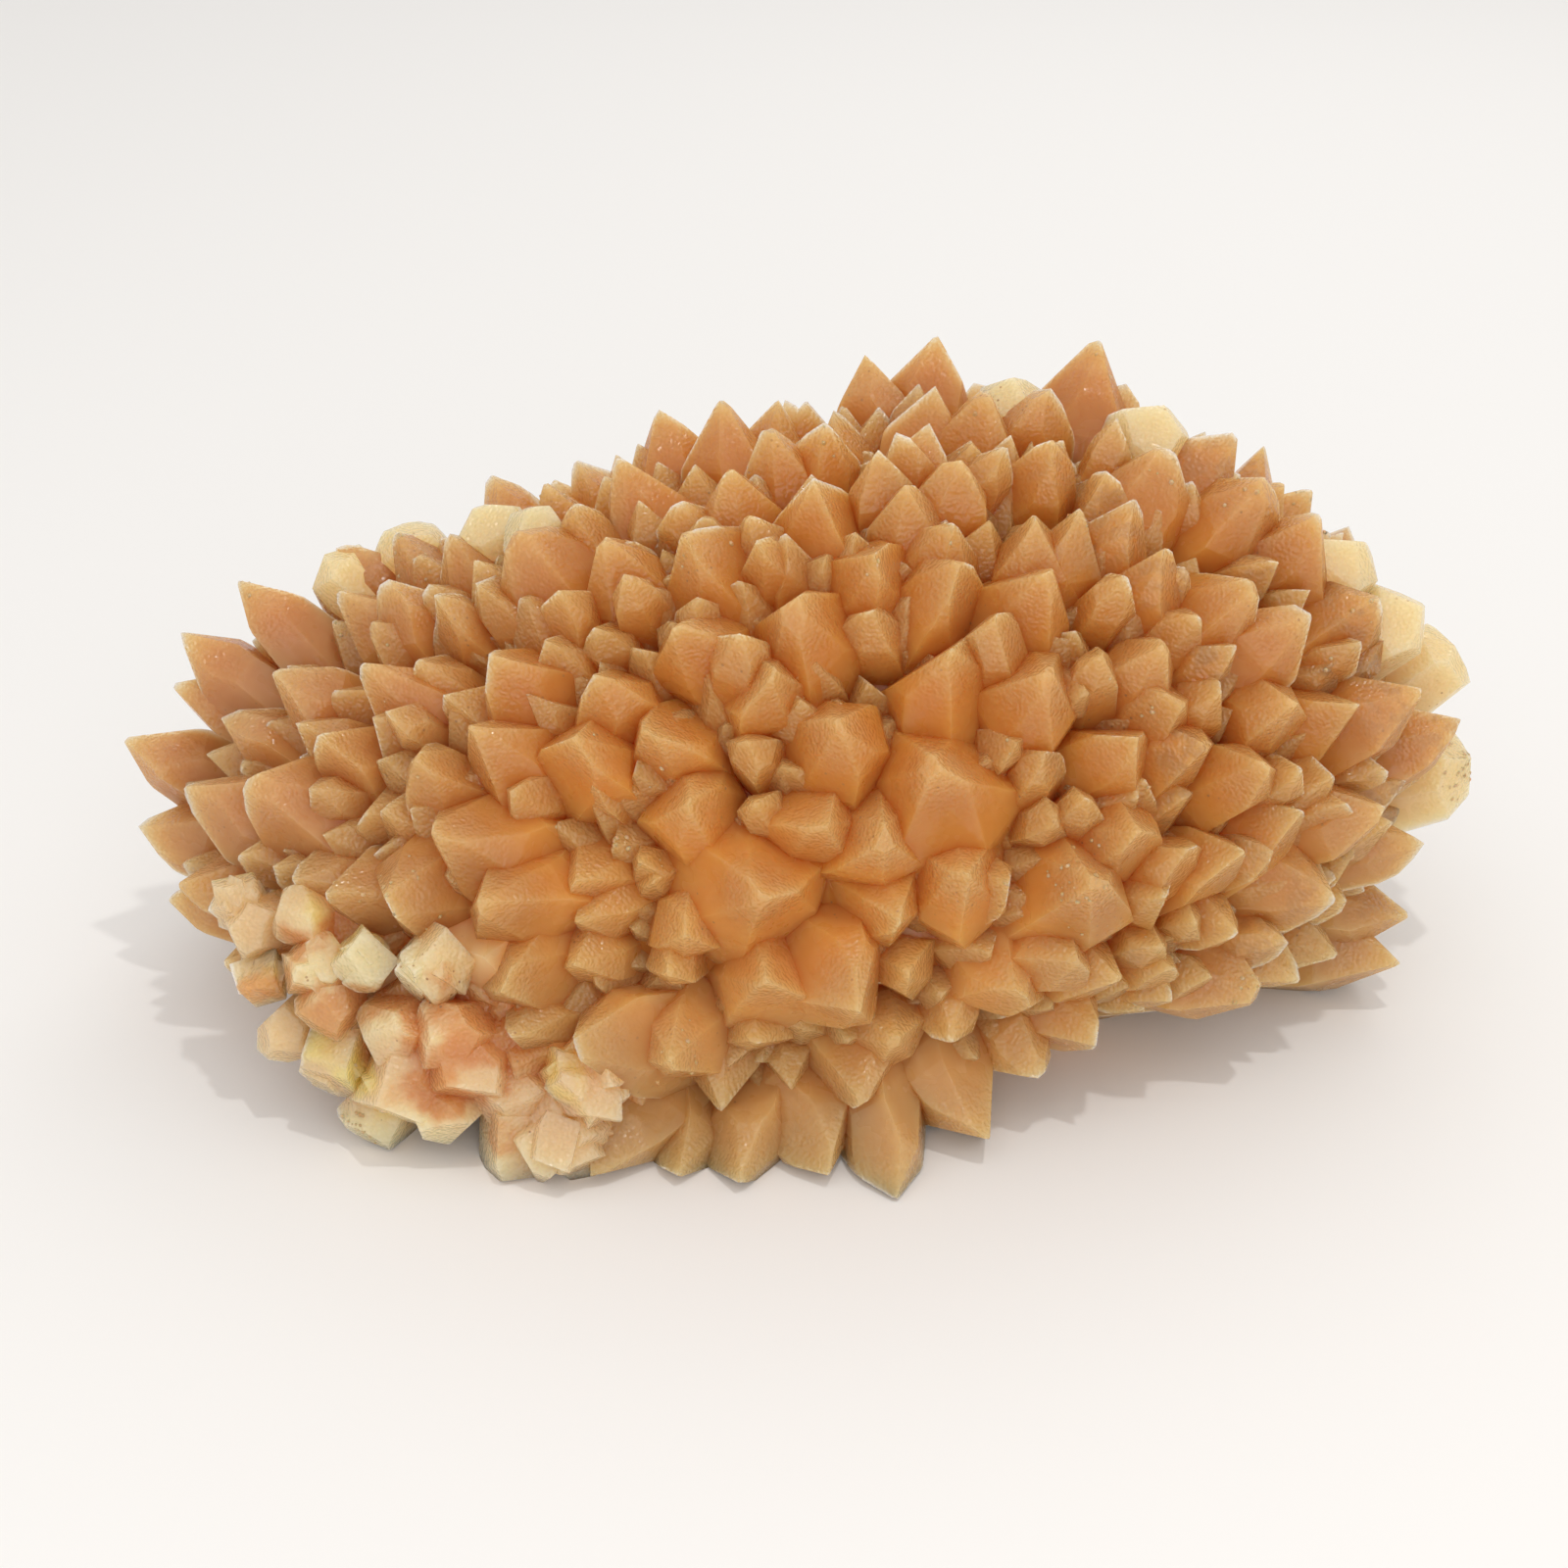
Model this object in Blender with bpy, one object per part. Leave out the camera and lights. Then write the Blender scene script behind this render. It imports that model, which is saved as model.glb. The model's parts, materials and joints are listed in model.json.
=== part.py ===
"""A dogtooth calcite cluster, modelled as the one solid that it grew as.

Pointed calcite crystals stand all over a low, leaning mound and run into one another at their
roots. Blunt, pale crystals edge the back, and stubby rhomb-shaped blocks crowd the lower left of
the front. The whole is cut flat underneath, where it came off its rock, and rests on that cut.

Metres, +Z up, X along the length. The front, with the largest crystals, faces -Y. The origin is
the middle of the bounding box's base.
"""

import math
import random
from itertools import combinations

import bmesh
import bpy
import numpy as np
from mathutils import Matrix, Vector

NODE_NAME = "calcite_cluster"

# The points of the crystals lie near an egg-shaped shell around the heart of the cluster.
HEART = np.array((0.018, 0.0, 0.036))
SHELL_HALF_LENGTH = 0.150
SHELL_HALF_DEPTH = 0.088
SHELL_HALF_HEIGHT = 0.104
SHELL_ROLL = math.radians(8.0)
SHELL_YAW = math.radians(5.0)
SHELL_LEAN = 0.10

# The ground mass that the crystals stand on, as a share of the shell
CORE_SHARE = 0.72
CORE_SUBDIVISIONS = 2

# One crystal
TIP_SLOPE = math.radians(30.0)
BLUNT_TIP_SLOPE = math.radians(50.0)
BODY_SLOPE = math.radians(7.0)
BLUNT_BODY_SLOPE = math.radians(3.0)
PAIR_HALF_ANGLE = math.radians(21.0)
CRYSTAL_LENGTH = 0.060
FACE_JITTER = math.radians(3.0)
OFFSET_JITTER = 0.10
BLOCK_SLOPE = math.radians(40.0)
BLOCK_CORNER_CUTS = 1
AXIS_TOWARDS_NORMAL = 0.55
AXIS_JITTER = 0.12
AXIS_PULL = np.array((-0.10, -0.10, 0.30))
PULL_FADE = 2.0

# Crystals grow larger at the front than at the ends, the top and the back.
WIDTH_AT_ENDS = 0.0145
WIDTH_AT_FRONT = 0.0190
WIDTH_JITTER = 0.22
SPACING_SHARE = 1.38
PLACED_WIDTH_SHARE = 1.18
REACH_LOW = 0.88
REACH_HIGH = 1.03
TRIALS = 5000
PLACED_SEED = 23
FILLING_SEED = 24

# The lowest crystal points, as bearing in degrees and height in metres: the ends and the right of
# the front stand clear of the ground.
SKIRT = (
    (-180, 0.036), (-155, 0.032), (-145, 0.020), (-135, 0.009), (-120, 0.004), (-80, 0.003),
    (-65, 0.006), (-55, 0.014), (-35, 0.024), (-20, 0.018), (-8, 0.014), (0, 0.020),
    (30, 0.010), (150, 0.010), (180, 0.036),
)

# The crystals that show most, placed by eye: bearing and rise seen from the heart, in degrees,
# reach as a share of the shell, and width in millimetres
TEETH_LEFT_END = (
    (-178, 10, 1.10, 12), (-175, 3, 1.03, 12), (-164, 4, 1.00, 13), (179, 20, 1.13, 10),
    (177, 26, 1.12, 10), (-180, 15, 1.08, 10), (-168, 11, 1.02, 13), (179, 15, 1.00, 12),
    (178, 21, 1.02, 11), (175, 28, 1.02, 12), (173, 33, 1.06, 11), (-173, 17, 1.00, 11),
    (-170, 24, 1.00, 12), (-177, 32, 1.00, 11), (-172, 38, 1.00, 12), (176, -2, 1.02, 11),
)
TEETH_FRONT_LEFT = (
    (-158, 17, 1.05, 27), (-160, 32, 1.00, 19), (-156, 24, 1.00, 13), (-138, 13, 1.04, 23),
    (-146, 11, 1.00, 14), (-143, 41, 1.02, 18), (-139, 34, 1.00, 15), (-136, 22, 1.03, 17),
    (-128, 16, 1.05, 19), (-125, 7, 1.03, 17), (-128, 46, 0.98, 15), (-126, 37, 1.02, 18),
    (-118, 0, 1.02, 16), (-105, -2, 1.02, 18), (-115, 41, 0.98, 14), (-105, 34, 0.98, 17),
    (-125, -1, 1.00, 13),
)
TEETH_TOP_LEFT = (
    (175, 39, 1.02, 14), (-177, 46, 1.00, 16), (-159, 47, 0.98, 12), (-158, 54, 1.04, 23),
    (179, 59, 1.00, 15), (-174, 68, 1.00, 14), (145, 70, 1.03, 13), (143, 79, 1.02, 14),
    (-127, 77, 0.98, 15), (-163, 61, 0.98, 12), (-142, 60, 1.00, 16), (-122, 65, 1.02, 23),
    (-114, 54, 1.00, 16),
)
TEETH_MIDDLE = (
    (-92, 22, 1.05, 28), (-93, 9, 1.00, 18), (-82, 7, 1.04, 20), (-84, 43, 1.00, 17),
    (-69, 36, 1.05, 25), (-95, 50, 1.00, 16), (-91, 58, 1.02, 19), (-78, 75, 1.02, 20),
    (-69, 62, 1.02, 20), (-52, 57, 1.00, 18), (-64, 50, 1.00, 18), (-51, 42, 1.02, 18),
    (-86, 31, 0.98, 15), (-77, 29, 0.99, 16), (-67, 22, 0.99, 17), (-76, 17, 0.98, 17),
)
TEETH_FOOT = (
    (-116, -18, 1.07, 18), (-106, -19, 1.05, 13), (-98, -20, 1.09, 17), (-86, -19, 1.09, 19),
    (-78, -20, 1.16, 13), (-81, -12, 1.00, 19), (-62, -16, 1.08, 20), (-59, 3, 1.00, 18),
    (-48, -6, 1.00, 16), (-55, -11, 0.98, 11), (-52, 8, 1.00, 14),
)
TEETH_CROWN = (
    (60, 72, 1.05, 14), (43, 68, 1.09, 17), (24, 56, 1.09, 19), (20, 51, 1.02, 11),
    (19, 74, 1.00, 14), (6, 69, 1.00, 13), (12, 62, 1.01, 13), (-22, 86, 0.98, 12),
    (-31, 69, 0.99, 13), (-50, 70, 0.98, 13), (-15, 62, 0.99, 13), (-47, 63, 0.97, 13),
    (-35, 58, 0.98, 13), (-41, 52, 1.00, 18),
)
TEETH_RIGHT = (
    (4, 45, 1.02, 13), (-5, 51, 1.00, 14), (-6, 42, 1.03, 18), (-7, 37, 1.04, 17),
    (-18, 51, 0.98, 12), (-24, 46, 0.99, 13), (-10, 29, 1.03, 14), (-21, 38, 1.02, 18),
    (-17, 33, 1.02, 15), (-33, 39, 0.98, 12), (-11, 20, 1.03, 14), (-6, 14, 1.04, 12),
    (-24, 27, 1.00, 15), (-35, 33, 0.98, 13), (-42, 33, 0.99, 15), (-30, 23, 1.00, 13),
    (-26, 16, 0.99, 12), (-18, 12, 1.02, 13), (-33, 15, 0.98, 12), (-38, 18, 0.97, 11),
    (-11, 5, 1.02, 12), (-46, 22, 1.02, 16), (-52, 19, 1.04, 22), (-8, -4, 1.04, 17),
    (-23, 5, 1.02, 18), (-11, -8, 1.07, 15), (-30, -4, 1.02, 17),
)
BLUNT_TEETH = (
    (174, 31, 1.05, 13), (171, 37, 1.02, 13), (178, 49, 0.99, 14), (-171, 55, 0.98, 12),
    (22, 63, 0.98, 13), (8, 51, 1.00, 16), (-2, 31, 1.00, 15), (-4, 24, 1.02, 16),
    (-1, 7, 1.04, 17), (3, 16, 1.04, 16),
)
NAILHEADS = (
    (-148, -6, 1.02, 12), (-138, -3, 1.03, 14), (-132, 0, 1.03, 14), (-129, -6, 1.05, 15),
    (-144, -1, 1.02, 11), (-150, 7, 1.00, 12), (-154, 4, 1.01, 12), (-133, -12, 1.04, 14),
    (-140, -13, 1.03, 13), (-125, -10, 1.02, 14),
)
RHOMB_BLOCKS = (
    (-152, -1, 1.01, 10), (-148, 2, 0.99, 12), (-138, -9, 1.03, 17), (-145, -8, 1.01, 13),
    (-125, -17, 1.04, 17), (-120, -16, 1.03, 16), (-136, 5, 0.98, 12), (-119, -9, 1.01, 15),
    (-157, 5, 1.00, 10), (-143, 4, 0.99, 11), (-133, -5, 0.98, 13), (-151, 1, 0.90, 24),
    (-143, -5, 0.92, 26), (-131, -9, 0.92, 26), (-137, 0, 0.88, 24), (-122, -13, 0.92, 24),
)

BASE_CUT_DEPTH = 0.15
SURFACE_COLOUR = (0.52, 0.24, 0.085, 1.0)
SURFACE_ROUGHNESS = 0.35


def clear_scene():
    """Remove every object that the file opened with."""
    for obj in list(bpy.data.objects):
        bpy.data.objects.remove(obj, do_unlink=True)


def unit(vector):
    """Return the vector, or each row of vectors, at length one."""
    return vector / np.linalg.norm(vector, axis=-1, keepdims=True)


def direction(bearing, rise):
    """Unit vector towards a bearing around +Z and a rise above the ground, both in degrees."""
    around = math.radians(bearing)
    up = math.radians(rise)
    return np.array((math.cos(around) * math.cos(up), math.sin(around) * math.cos(up), math.sin(up)))


def shell_frame():
    """The rotation that turns the shell's own axes to the world."""
    return np.array(Matrix.Rotation(SHELL_YAW, 3, "Z") @ Matrix.Rotation(-SHELL_ROLL, 3, "Y"))


def shell_reach(toward):
    """Distance from the heart to the shell along one unit vector, or along each row of them."""
    own = toward @ shell_frame()
    halves = np.array((SHELL_HALF_LENGTH, SHELL_HALF_DEPTH, SHELL_HALF_HEIGHT))
    plain = 1.0 / np.linalg.norm(own / halves, axis=-1)
    return plain * (1.0 + SHELL_LEAN * toward[..., 0] * toward[..., 2])


def shell_normal(toward):
    """Outward normal of the shell where it is met along a unit vector."""
    own = toward @ shell_frame()
    halves = np.array((SHELL_HALF_LENGTH, SHELL_HALF_DEPTH, SHELL_HALF_HEIGHT))
    return unit((own / halves ** 2) @ shell_frame().T)


def skirt_height(toward):
    """Height of the lowest crystal points under a unit vector's bearing."""
    bearing = math.degrees(math.atan2(toward[1], toward[0]))
    bearings = [point[0] for point in SKIRT]
    heights = [point[1] for point in SKIRT]
    return float(np.interp(bearing, bearings, heights))


def crystal_axis(toward, dice):
    """Growth direction: between straight out and square to the shell, pulled up a little."""
    mixed = (1.0 - AXIS_TOWARDS_NORMAL) * toward + AXIS_TOWARDS_NORMAL * shell_normal(toward)
    mixed = mixed + AXIS_PULL * min(1.0, max(0.0, 1.0 + PULL_FADE * toward[2]))
    shake = np.array([dice.gauss(0.0, AXIS_JITTER) for _ in range(3)])
    return unit(mixed + shake)


def convex_corners(normals, offsets):
    """Corners of the convex solid where normal . p <= offset for every face."""
    trios = np.array(list(combinations(range(len(normals)), 3)))
    systems = normals[trios]
    solvable = np.abs(np.linalg.det(systems)) > 1e-4
    points = np.linalg.solve(systems[solvable], offsets[trios][solvable][..., None])[..., 0]
    inside = (points @ normals.T <= offsets + 1e-7).all(axis=1)
    return points[inside]


def tooth_planes(half_width, length, blunt, dice):
    """Faces of a dogtooth crystal whose point is at the origin and whose root is down -Z."""
    tip_slope = BLUNT_TIP_SLOPE if blunt else TIP_SLOPE
    body_slope = BLUNT_BODY_SLOPE if blunt else BODY_SLOPE
    shoulder = half_width / math.tan(tip_slope)
    normals = []
    offsets = []
    for step in range(6):
        side = 1 if step % 2 else -1
        azimuth = math.radians(120.0) * (step // 2) + side * PAIR_HALF_ANGLE
        azimuth += dice.gauss(0.0, FACE_JITTER)
        slope = tip_slope + dice.gauss(0.0, FACE_JITTER)
        if not blunt or side > 0:
            normals.append(face_normal(azimuth, slope))
            offsets.append(0.0)
        slope = body_slope + dice.gauss(0.0, FACE_JITTER / 3)
        body = face_normal(azimuth, slope)
        width = half_width * (1.0 + dice.uniform(-OFFSET_JITTER, OFFSET_JITTER))
        normals.append(body)
        offsets.append(width * math.cos(slope) - shoulder * math.sin(slope))
    normals.append((0.0, 0.0, -1.0))
    offsets.append(length)
    return np.array(normals), np.array(offsets)


def face_normal(azimuth, slope):
    """Outward normal of a crystal face that leans from the axis by slope."""
    flat = math.cos(slope)
    return (flat * math.cos(azimuth), flat * math.sin(azimuth), math.sin(slope))


def block_planes(size, dice):
    """Faces of a stubby calcite rhomb around the origin."""
    normals = []
    offsets = []
    for step in range(3):
        azimuth = math.radians(120.0) * step + dice.gauss(0.0, FACE_JITTER)
        for sign in (1, -1):
            normal = sign * np.array(face_normal(azimuth, BLOCK_SLOPE))
            normals.append(normal)
            offsets.append(size * dice.uniform(0.38, 0.52))
    for _ in range(BLOCK_CORNER_CUTS):
        cut = unit(np.array([dice.gauss(0.0, 0.6), dice.gauss(0.0, 0.6), 1.0]))
        normals.append(cut)
        offsets.append(size * dice.uniform(0.38, 0.50))
    return np.array(normals), np.array(offsets)


def stand_on(axis, dice):
    """Rotation that turns +Z to the axis, with a random spin around it."""
    turn = Vector((0.0, 0.0, 1.0)).rotation_difference(Vector(axis)).to_matrix()
    spin = Matrix.Rotation(dice.uniform(0.0, math.tau), 3, "Z")
    return np.array(turn @ spin)


def tooth_points(toward, reach, width, blunt, dice):
    """Corners of one crystal of the cluster, in the world."""
    tip = HEART + toward * shell_reach(toward) * reach
    turn = stand_on(crystal_axis(toward, dice), dice)
    corners = convex_corners(*tooth_planes(width / 2, CRYSTAL_LENGTH, blunt, dice))
    return corners @ turn.T + tip


def block_points(toward, reach, size, dice):
    """Corners of one rhomb of the cluster, in the world."""
    centre = HEART + toward * (shell_reach(toward) * reach - size / 2)
    turn = stand_on(crystal_axis(toward, dice), dice)
    corners = convex_corners(*block_planes(size, dice))
    return corners @ turn.T + centre


def placed_crystals(dice):
    """Yield the directions, widths and corners of the crystals placed by eye."""
    rows = TEETH_LEFT_END + TEETH_FRONT_LEFT + TEETH_TOP_LEFT + TEETH_MIDDLE
    rows += TEETH_FOOT + TEETH_CROWN + TEETH_RIGHT
    for bearing, rise, reach, millimetres in rows:
        toward = direction(bearing, rise)
        width = PLACED_WIDTH_SHARE * millimetres / 1000
        yield toward, width, tooth_points(toward, reach, width, False, dice)
    for bearing, rise, reach, millimetres in BLUNT_TEETH + NAILHEADS:
        toward = direction(bearing, rise)
        width = millimetres / 1000
        yield toward, width, tooth_points(toward, reach, width, True, dice)
    for bearing, rise, reach, millimetres in RHOMB_BLOCKS:
        toward = direction(bearing, rise)
        width = millimetres / 1000
        yield toward, width, block_points(toward, reach, width, dice)


def usual_width(toward, dice):
    """Width of a crystal that grows in the given direction."""
    frontness = max(0.0, -toward[1])
    width = WIDTH_AT_ENDS + (WIDTH_AT_FRONT - WIDTH_AT_ENDS) * frontness
    return width * (1.0 + dice.uniform(-WIDTH_JITTER, WIDTH_JITTER))


def filling_crystals(placed, dice):
    """Yield corners of crystals that fill the gaps between the placed ones, down to the skirt."""
    tips = [HEART + toward * shell_reach(toward) for toward, _, _ in placed]
    widths = [width for _, width, _ in placed]
    for _ in range(TRIALS):
        toward = unit(np.array([dice.gauss(0.0, 1.0) for _ in range(3)]))
        tip = HEART + toward * shell_reach(toward)
        if tip[2] < skirt_height(toward):
            continue
        width = usual_width(toward, dice)
        gaps = np.linalg.norm(np.array(tips) - tip, axis=1)
        if (gaps < SPACING_SHARE * (np.array(widths) + width) / 2).any():
            continue
        tips.append(tip)
        widths.append(width)
        at_back = toward[1] > 0.3 and toward[2] < 0.6
        blunt = at_back and dice.random() < 0.4
        yield tooth_points(toward, dice.uniform(REACH_LOW, REACH_HIGH), width, blunt, dice)


def add_hull(mesh, points):
    """Add the convex solid around the points to a bmesh, with its flat faces whole."""
    hull = bmesh.new()
    verts = [hull.verts.new(point) for point in points]
    bmesh.ops.remove_doubles(hull, verts=verts, dist=1e-5)
    result = bmesh.ops.convex_hull(hull, input=hull.verts)
    inner = [item for item in result["geom_interior"] if isinstance(item, bmesh.types.BMVert)]
    bmesh.ops.delete(hull, geom=inner, context="VERTS")
    bmesh.ops.dissolve_limit(hull, angle_limit=math.radians(0.5), verts=hull.verts, edges=hull.edges)
    bmesh.ops.recalc_face_normals(hull, faces=hull.faces)
    copies = {vert: mesh.verts.new(vert.co) for vert in hull.verts}
    for face in hull.faces:
        mesh.faces.new([copies[vert] for vert in face.verts])
    hull.free()


def object_from(mesh, name):
    """Turn a bmesh into an object in the scene."""
    data = bpy.data.meshes.new(name)
    mesh.to_mesh(data)
    mesh.free()
    obj = bpy.data.objects.new(name, data)
    bpy.context.scene.collection.objects.link(obj)
    return obj


def make_crystals():
    """All the crystals, in one object whose solids run into one another."""
    mesh = bmesh.new()
    placed = list(placed_crystals(random.Random(PLACED_SEED)))
    for _, _, points in placed:
        add_hull(mesh, points)
    for points in filling_crystals(placed, random.Random(FILLING_SEED)):
        add_hull(mesh, points)
    return object_from(mesh, "crystals")


def make_core():
    """The ground mass, a smaller egg on the same heart."""
    mesh = bmesh.new()
    bmesh.ops.create_icosphere(mesh, subdivisions=CORE_SUBDIVISIONS, radius=1.0)
    for vert in mesh.verts:
        toward = unit(np.array(vert.co))
        vert.co = HEART + toward * shell_reach(toward) * CORE_SHARE
    return object_from(mesh, NODE_NAME)


def make_ground():
    """A block whose top face is the flat cut under the cluster."""
    mesh = bmesh.new()
    bmesh.ops.create_cube(mesh, size=1.0)
    for vert in mesh.verts:
        vert.co.z = (vert.co.z - 0.5) * BASE_CUT_DEPTH
    ground = object_from(mesh, "ground")
    ground.hide_render = True
    ground.display_type = "WIRE"
    return ground


def apply_boolean(target, other, operation):
    """Join the other object to the target, or cut it away, and remove it."""
    modifier = target.modifiers.new(operation.title(), "BOOLEAN")
    modifier.operation = operation
    modifier.solver = "EXACT"
    modifier.use_self = True
    modifier.object = other
    graph = bpy.context.evaluated_depsgraph_get()
    data = bpy.data.meshes.new_from_object(target.evaluated_get(graph))
    target.modifiers.clear()
    target.data = data
    bpy.data.objects.remove(other, do_unlink=True)


def islands(mesh):
    """Groups of connected vertices of a bmesh."""
    waiting = set(mesh.verts)
    groups = []
    while waiting:
        seed = waiting.pop()
        group = [seed]
        for vert in group:
            for edge in vert.link_edges:
                other = edge.other_vert(vert)
                if other in waiting:
                    waiting.remove(other)
                    group.append(other)
        groups.append(group)
    return groups


def keep_outer_skin(obj):
    """Keep the one closed skin that is largest, so that no cavity stays sealed inside."""
    mesh = bmesh.new()
    mesh.from_mesh(obj.data)
    groups = sorted(islands(mesh), key=len)
    for group in groups[:-1]:
        bmesh.ops.delete(mesh, geom=group, context="VERTS")
    bmesh.ops.triangulate(mesh, faces=mesh.faces)
    mesh.to_mesh(obj.data)
    mesh.free()


def centre_on_base(obj):
    """Move the mesh so that the middle of its bounding box's base is the origin."""
    corners = np.array([vert.co for vert in obj.data.vertices])
    low = corners.min(axis=0)
    high = corners.max(axis=0)
    shift = Vector((-(low[0] + high[0]) / 2, -(low[1] + high[1]) / 2, -low[2]))
    obj.data.transform(Matrix.Translation(shift))


def calcite():
    """Honey-coloured calcite."""
    material = bpy.data.materials.new("calcite")
    material.use_nodes = True
    shader = material.node_tree.nodes["Principled BSDF"]
    shader.inputs["Base Color"].default_value = SURFACE_COLOUR
    shader.inputs["Roughness"].default_value = SURFACE_ROUGHNESS
    shader.inputs["Metallic"].default_value = 0.0
    return material


def main():
    clear_scene()
    crystals = make_crystals()
    cluster = make_core()
    apply_boolean(cluster, crystals, "UNION")
    apply_boolean(cluster, make_ground(), "DIFFERENCE")
    keep_outer_skin(cluster)
    centre_on_base(cluster)
    cluster.data.materials.clear()
    cluster.data.materials.append(calcite())


main()
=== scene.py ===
"""Looks of the dogtooth calcite cluster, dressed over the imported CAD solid.

The crystals stand exactly where the CAD source puts them. Here each one gets curved faces, worn
edges, a chipped point and smaller crystals growing beside it. All of them are then fused into one
closed skin, and a last crop of tiny crystals is grown on it.
"""

from __future__ import annotations

import json
import logging
import math
from collections.abc import Callable, Iterator, Sequence
from dataclasses import dataclass, replace
from enum import Enum
from itertools import combinations
from random import Random

import bmesh
import bpy
import numpy as np
from bpy.types import (Collection, Material, Mesh, Node, NodeSocket, NodeTree,
                       Object)
from mathutils import Matrix, Vector

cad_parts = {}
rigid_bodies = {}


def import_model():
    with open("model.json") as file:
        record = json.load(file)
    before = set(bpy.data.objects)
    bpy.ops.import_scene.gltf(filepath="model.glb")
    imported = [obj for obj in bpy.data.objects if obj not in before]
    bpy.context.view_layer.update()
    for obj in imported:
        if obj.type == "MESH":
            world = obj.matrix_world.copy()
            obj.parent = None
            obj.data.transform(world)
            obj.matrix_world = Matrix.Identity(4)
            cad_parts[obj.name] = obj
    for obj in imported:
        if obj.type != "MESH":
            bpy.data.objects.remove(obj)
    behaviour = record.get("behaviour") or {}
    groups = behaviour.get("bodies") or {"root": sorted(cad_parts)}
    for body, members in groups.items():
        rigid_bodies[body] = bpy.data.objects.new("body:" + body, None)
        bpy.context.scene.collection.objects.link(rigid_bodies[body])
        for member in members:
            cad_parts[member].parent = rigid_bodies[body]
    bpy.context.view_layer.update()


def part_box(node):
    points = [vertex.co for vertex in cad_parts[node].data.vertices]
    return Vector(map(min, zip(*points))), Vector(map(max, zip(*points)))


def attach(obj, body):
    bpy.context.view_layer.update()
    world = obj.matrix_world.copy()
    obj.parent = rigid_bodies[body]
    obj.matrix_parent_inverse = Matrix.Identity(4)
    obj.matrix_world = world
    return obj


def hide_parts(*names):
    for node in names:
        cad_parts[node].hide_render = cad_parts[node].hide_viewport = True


LOG = logging.getLogger("calcite")
CAD_NODE = "calcite_cluster"
CAMERA_AIM = (0.016, 0.0, 0.047)

Array = np.ndarray
Span = tuple[float, float]
Colour = tuple[float, float, float, float]


class Habit(Enum):
    """How a crystal of the cluster is shaped."""

    TOOTH = "tooth"
    BLUNT = "blunt"
    BLOCK = "block"


# Where the crystals stand, with the same values as in the CAD source

HEART = np.array((0.018, 0.0, 0.036))
SHELL_HALVES = np.array((0.150, 0.088, 0.104))
SHELL_ROLL = math.radians(8.0)
SHELL_YAW = math.radians(5.0)
SHELL_LEAN = 0.10
CORE_SHARE = 0.72

TIP_SLOPE = {Habit.TOOTH: math.radians(30.0), Habit.BLUNT: math.radians(50.0)}
BODY_SLOPE = {Habit.TOOTH: math.radians(7.0), Habit.BLUNT: math.radians(3.0)}
PAIR_HALF_ANGLE = math.radians(21.0)
CRYSTAL_LENGTH = 0.060
FACE_JITTER = math.radians(3.0)
OFFSET_JITTER = 0.10
AXIS_TOWARDS_NORMAL = 0.55
AXIS_JITTER = 0.12
AXIS_PULL = np.array((-0.10, -0.10, 0.30))
PULL_FADE = 2.0
BLOCK_SLOPE = math.radians(40.0)
BLOCK_HALF = (0.38, 0.52)
BLOCK_CORNER_CUTS = 1
BLOCK_CUT_HALF = (0.38, 0.50)
BLOCK_CUT_SPREAD = 0.6
THIRD_TURN = math.radians(120.0)
SIXTH_TURN = math.radians(60.0)

WIDTH_AT_ENDS = 0.0145
WIDTH_AT_FRONT = 0.0190
WIDTH_JITTER = 0.22
SPACING_SHARE = 1.38
PLACED_WIDTH_SHARE = 1.18
REACH_LOW = 0.88
REACH_HIGH = 1.03
TRIALS = 5000
BACK_FROM = 0.3
BACK_BELOW = 0.6
BLUNT_AT_BACK = 0.4
PLACED_SEED = 23
FILLING_SEED = 24

SKIRT = (
    (-180, 0.036), (-155, 0.032), (-145, 0.020), (-135, 0.009), (-120, 0.004), (-80, 0.003),
    (-65, 0.006), (-55, 0.014), (-35, 0.024), (-20, 0.018), (-8, 0.014), (0, 0.020),
    (30, 0.010), (150, 0.010), (180, 0.036),
)

# Bearing and rise from the heart in degrees, reach as a share of the shell, width in millimetres
TEETH_LEFT_END = (
    (-178, 10, 1.10, 12), (-175, 3, 1.03, 12), (-164, 4, 1.00, 13), (179, 20, 1.13, 10),
    (177, 26, 1.12, 10), (-180, 15, 1.08, 10), (-168, 11, 1.02, 13), (179, 15, 1.00, 12),
    (178, 21, 1.02, 11), (175, 28, 1.02, 12), (173, 33, 1.06, 11), (-173, 17, 1.00, 11),
    (-170, 24, 1.00, 12), (-177, 32, 1.00, 11), (-172, 38, 1.00, 12), (176, -2, 1.02, 11),
)
TEETH_FRONT_LEFT = (
    (-158, 17, 1.05, 27), (-160, 32, 1.00, 19), (-156, 24, 1.00, 13), (-138, 13, 1.04, 23),
    (-146, 11, 1.00, 14), (-143, 41, 1.02, 18), (-139, 34, 1.00, 15), (-136, 22, 1.03, 17),
    (-128, 16, 1.05, 19), (-125, 7, 1.03, 17), (-128, 46, 0.98, 15), (-126, 37, 1.02, 18),
    (-118, 0, 1.02, 16), (-105, -2, 1.02, 18), (-115, 41, 0.98, 14), (-105, 34, 0.98, 17),
    (-125, -1, 1.00, 13),
)
TEETH_TOP_LEFT = (
    (175, 39, 1.02, 14), (-177, 46, 1.00, 16), (-159, 47, 0.98, 12), (-158, 54, 1.04, 23),
    (179, 59, 1.00, 15), (-174, 68, 1.00, 14), (145, 70, 1.03, 13), (143, 79, 1.02, 14),
    (-127, 77, 0.98, 15), (-163, 61, 0.98, 12), (-142, 60, 1.00, 16), (-122, 65, 1.02, 23),
    (-114, 54, 1.00, 16),
)
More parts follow.
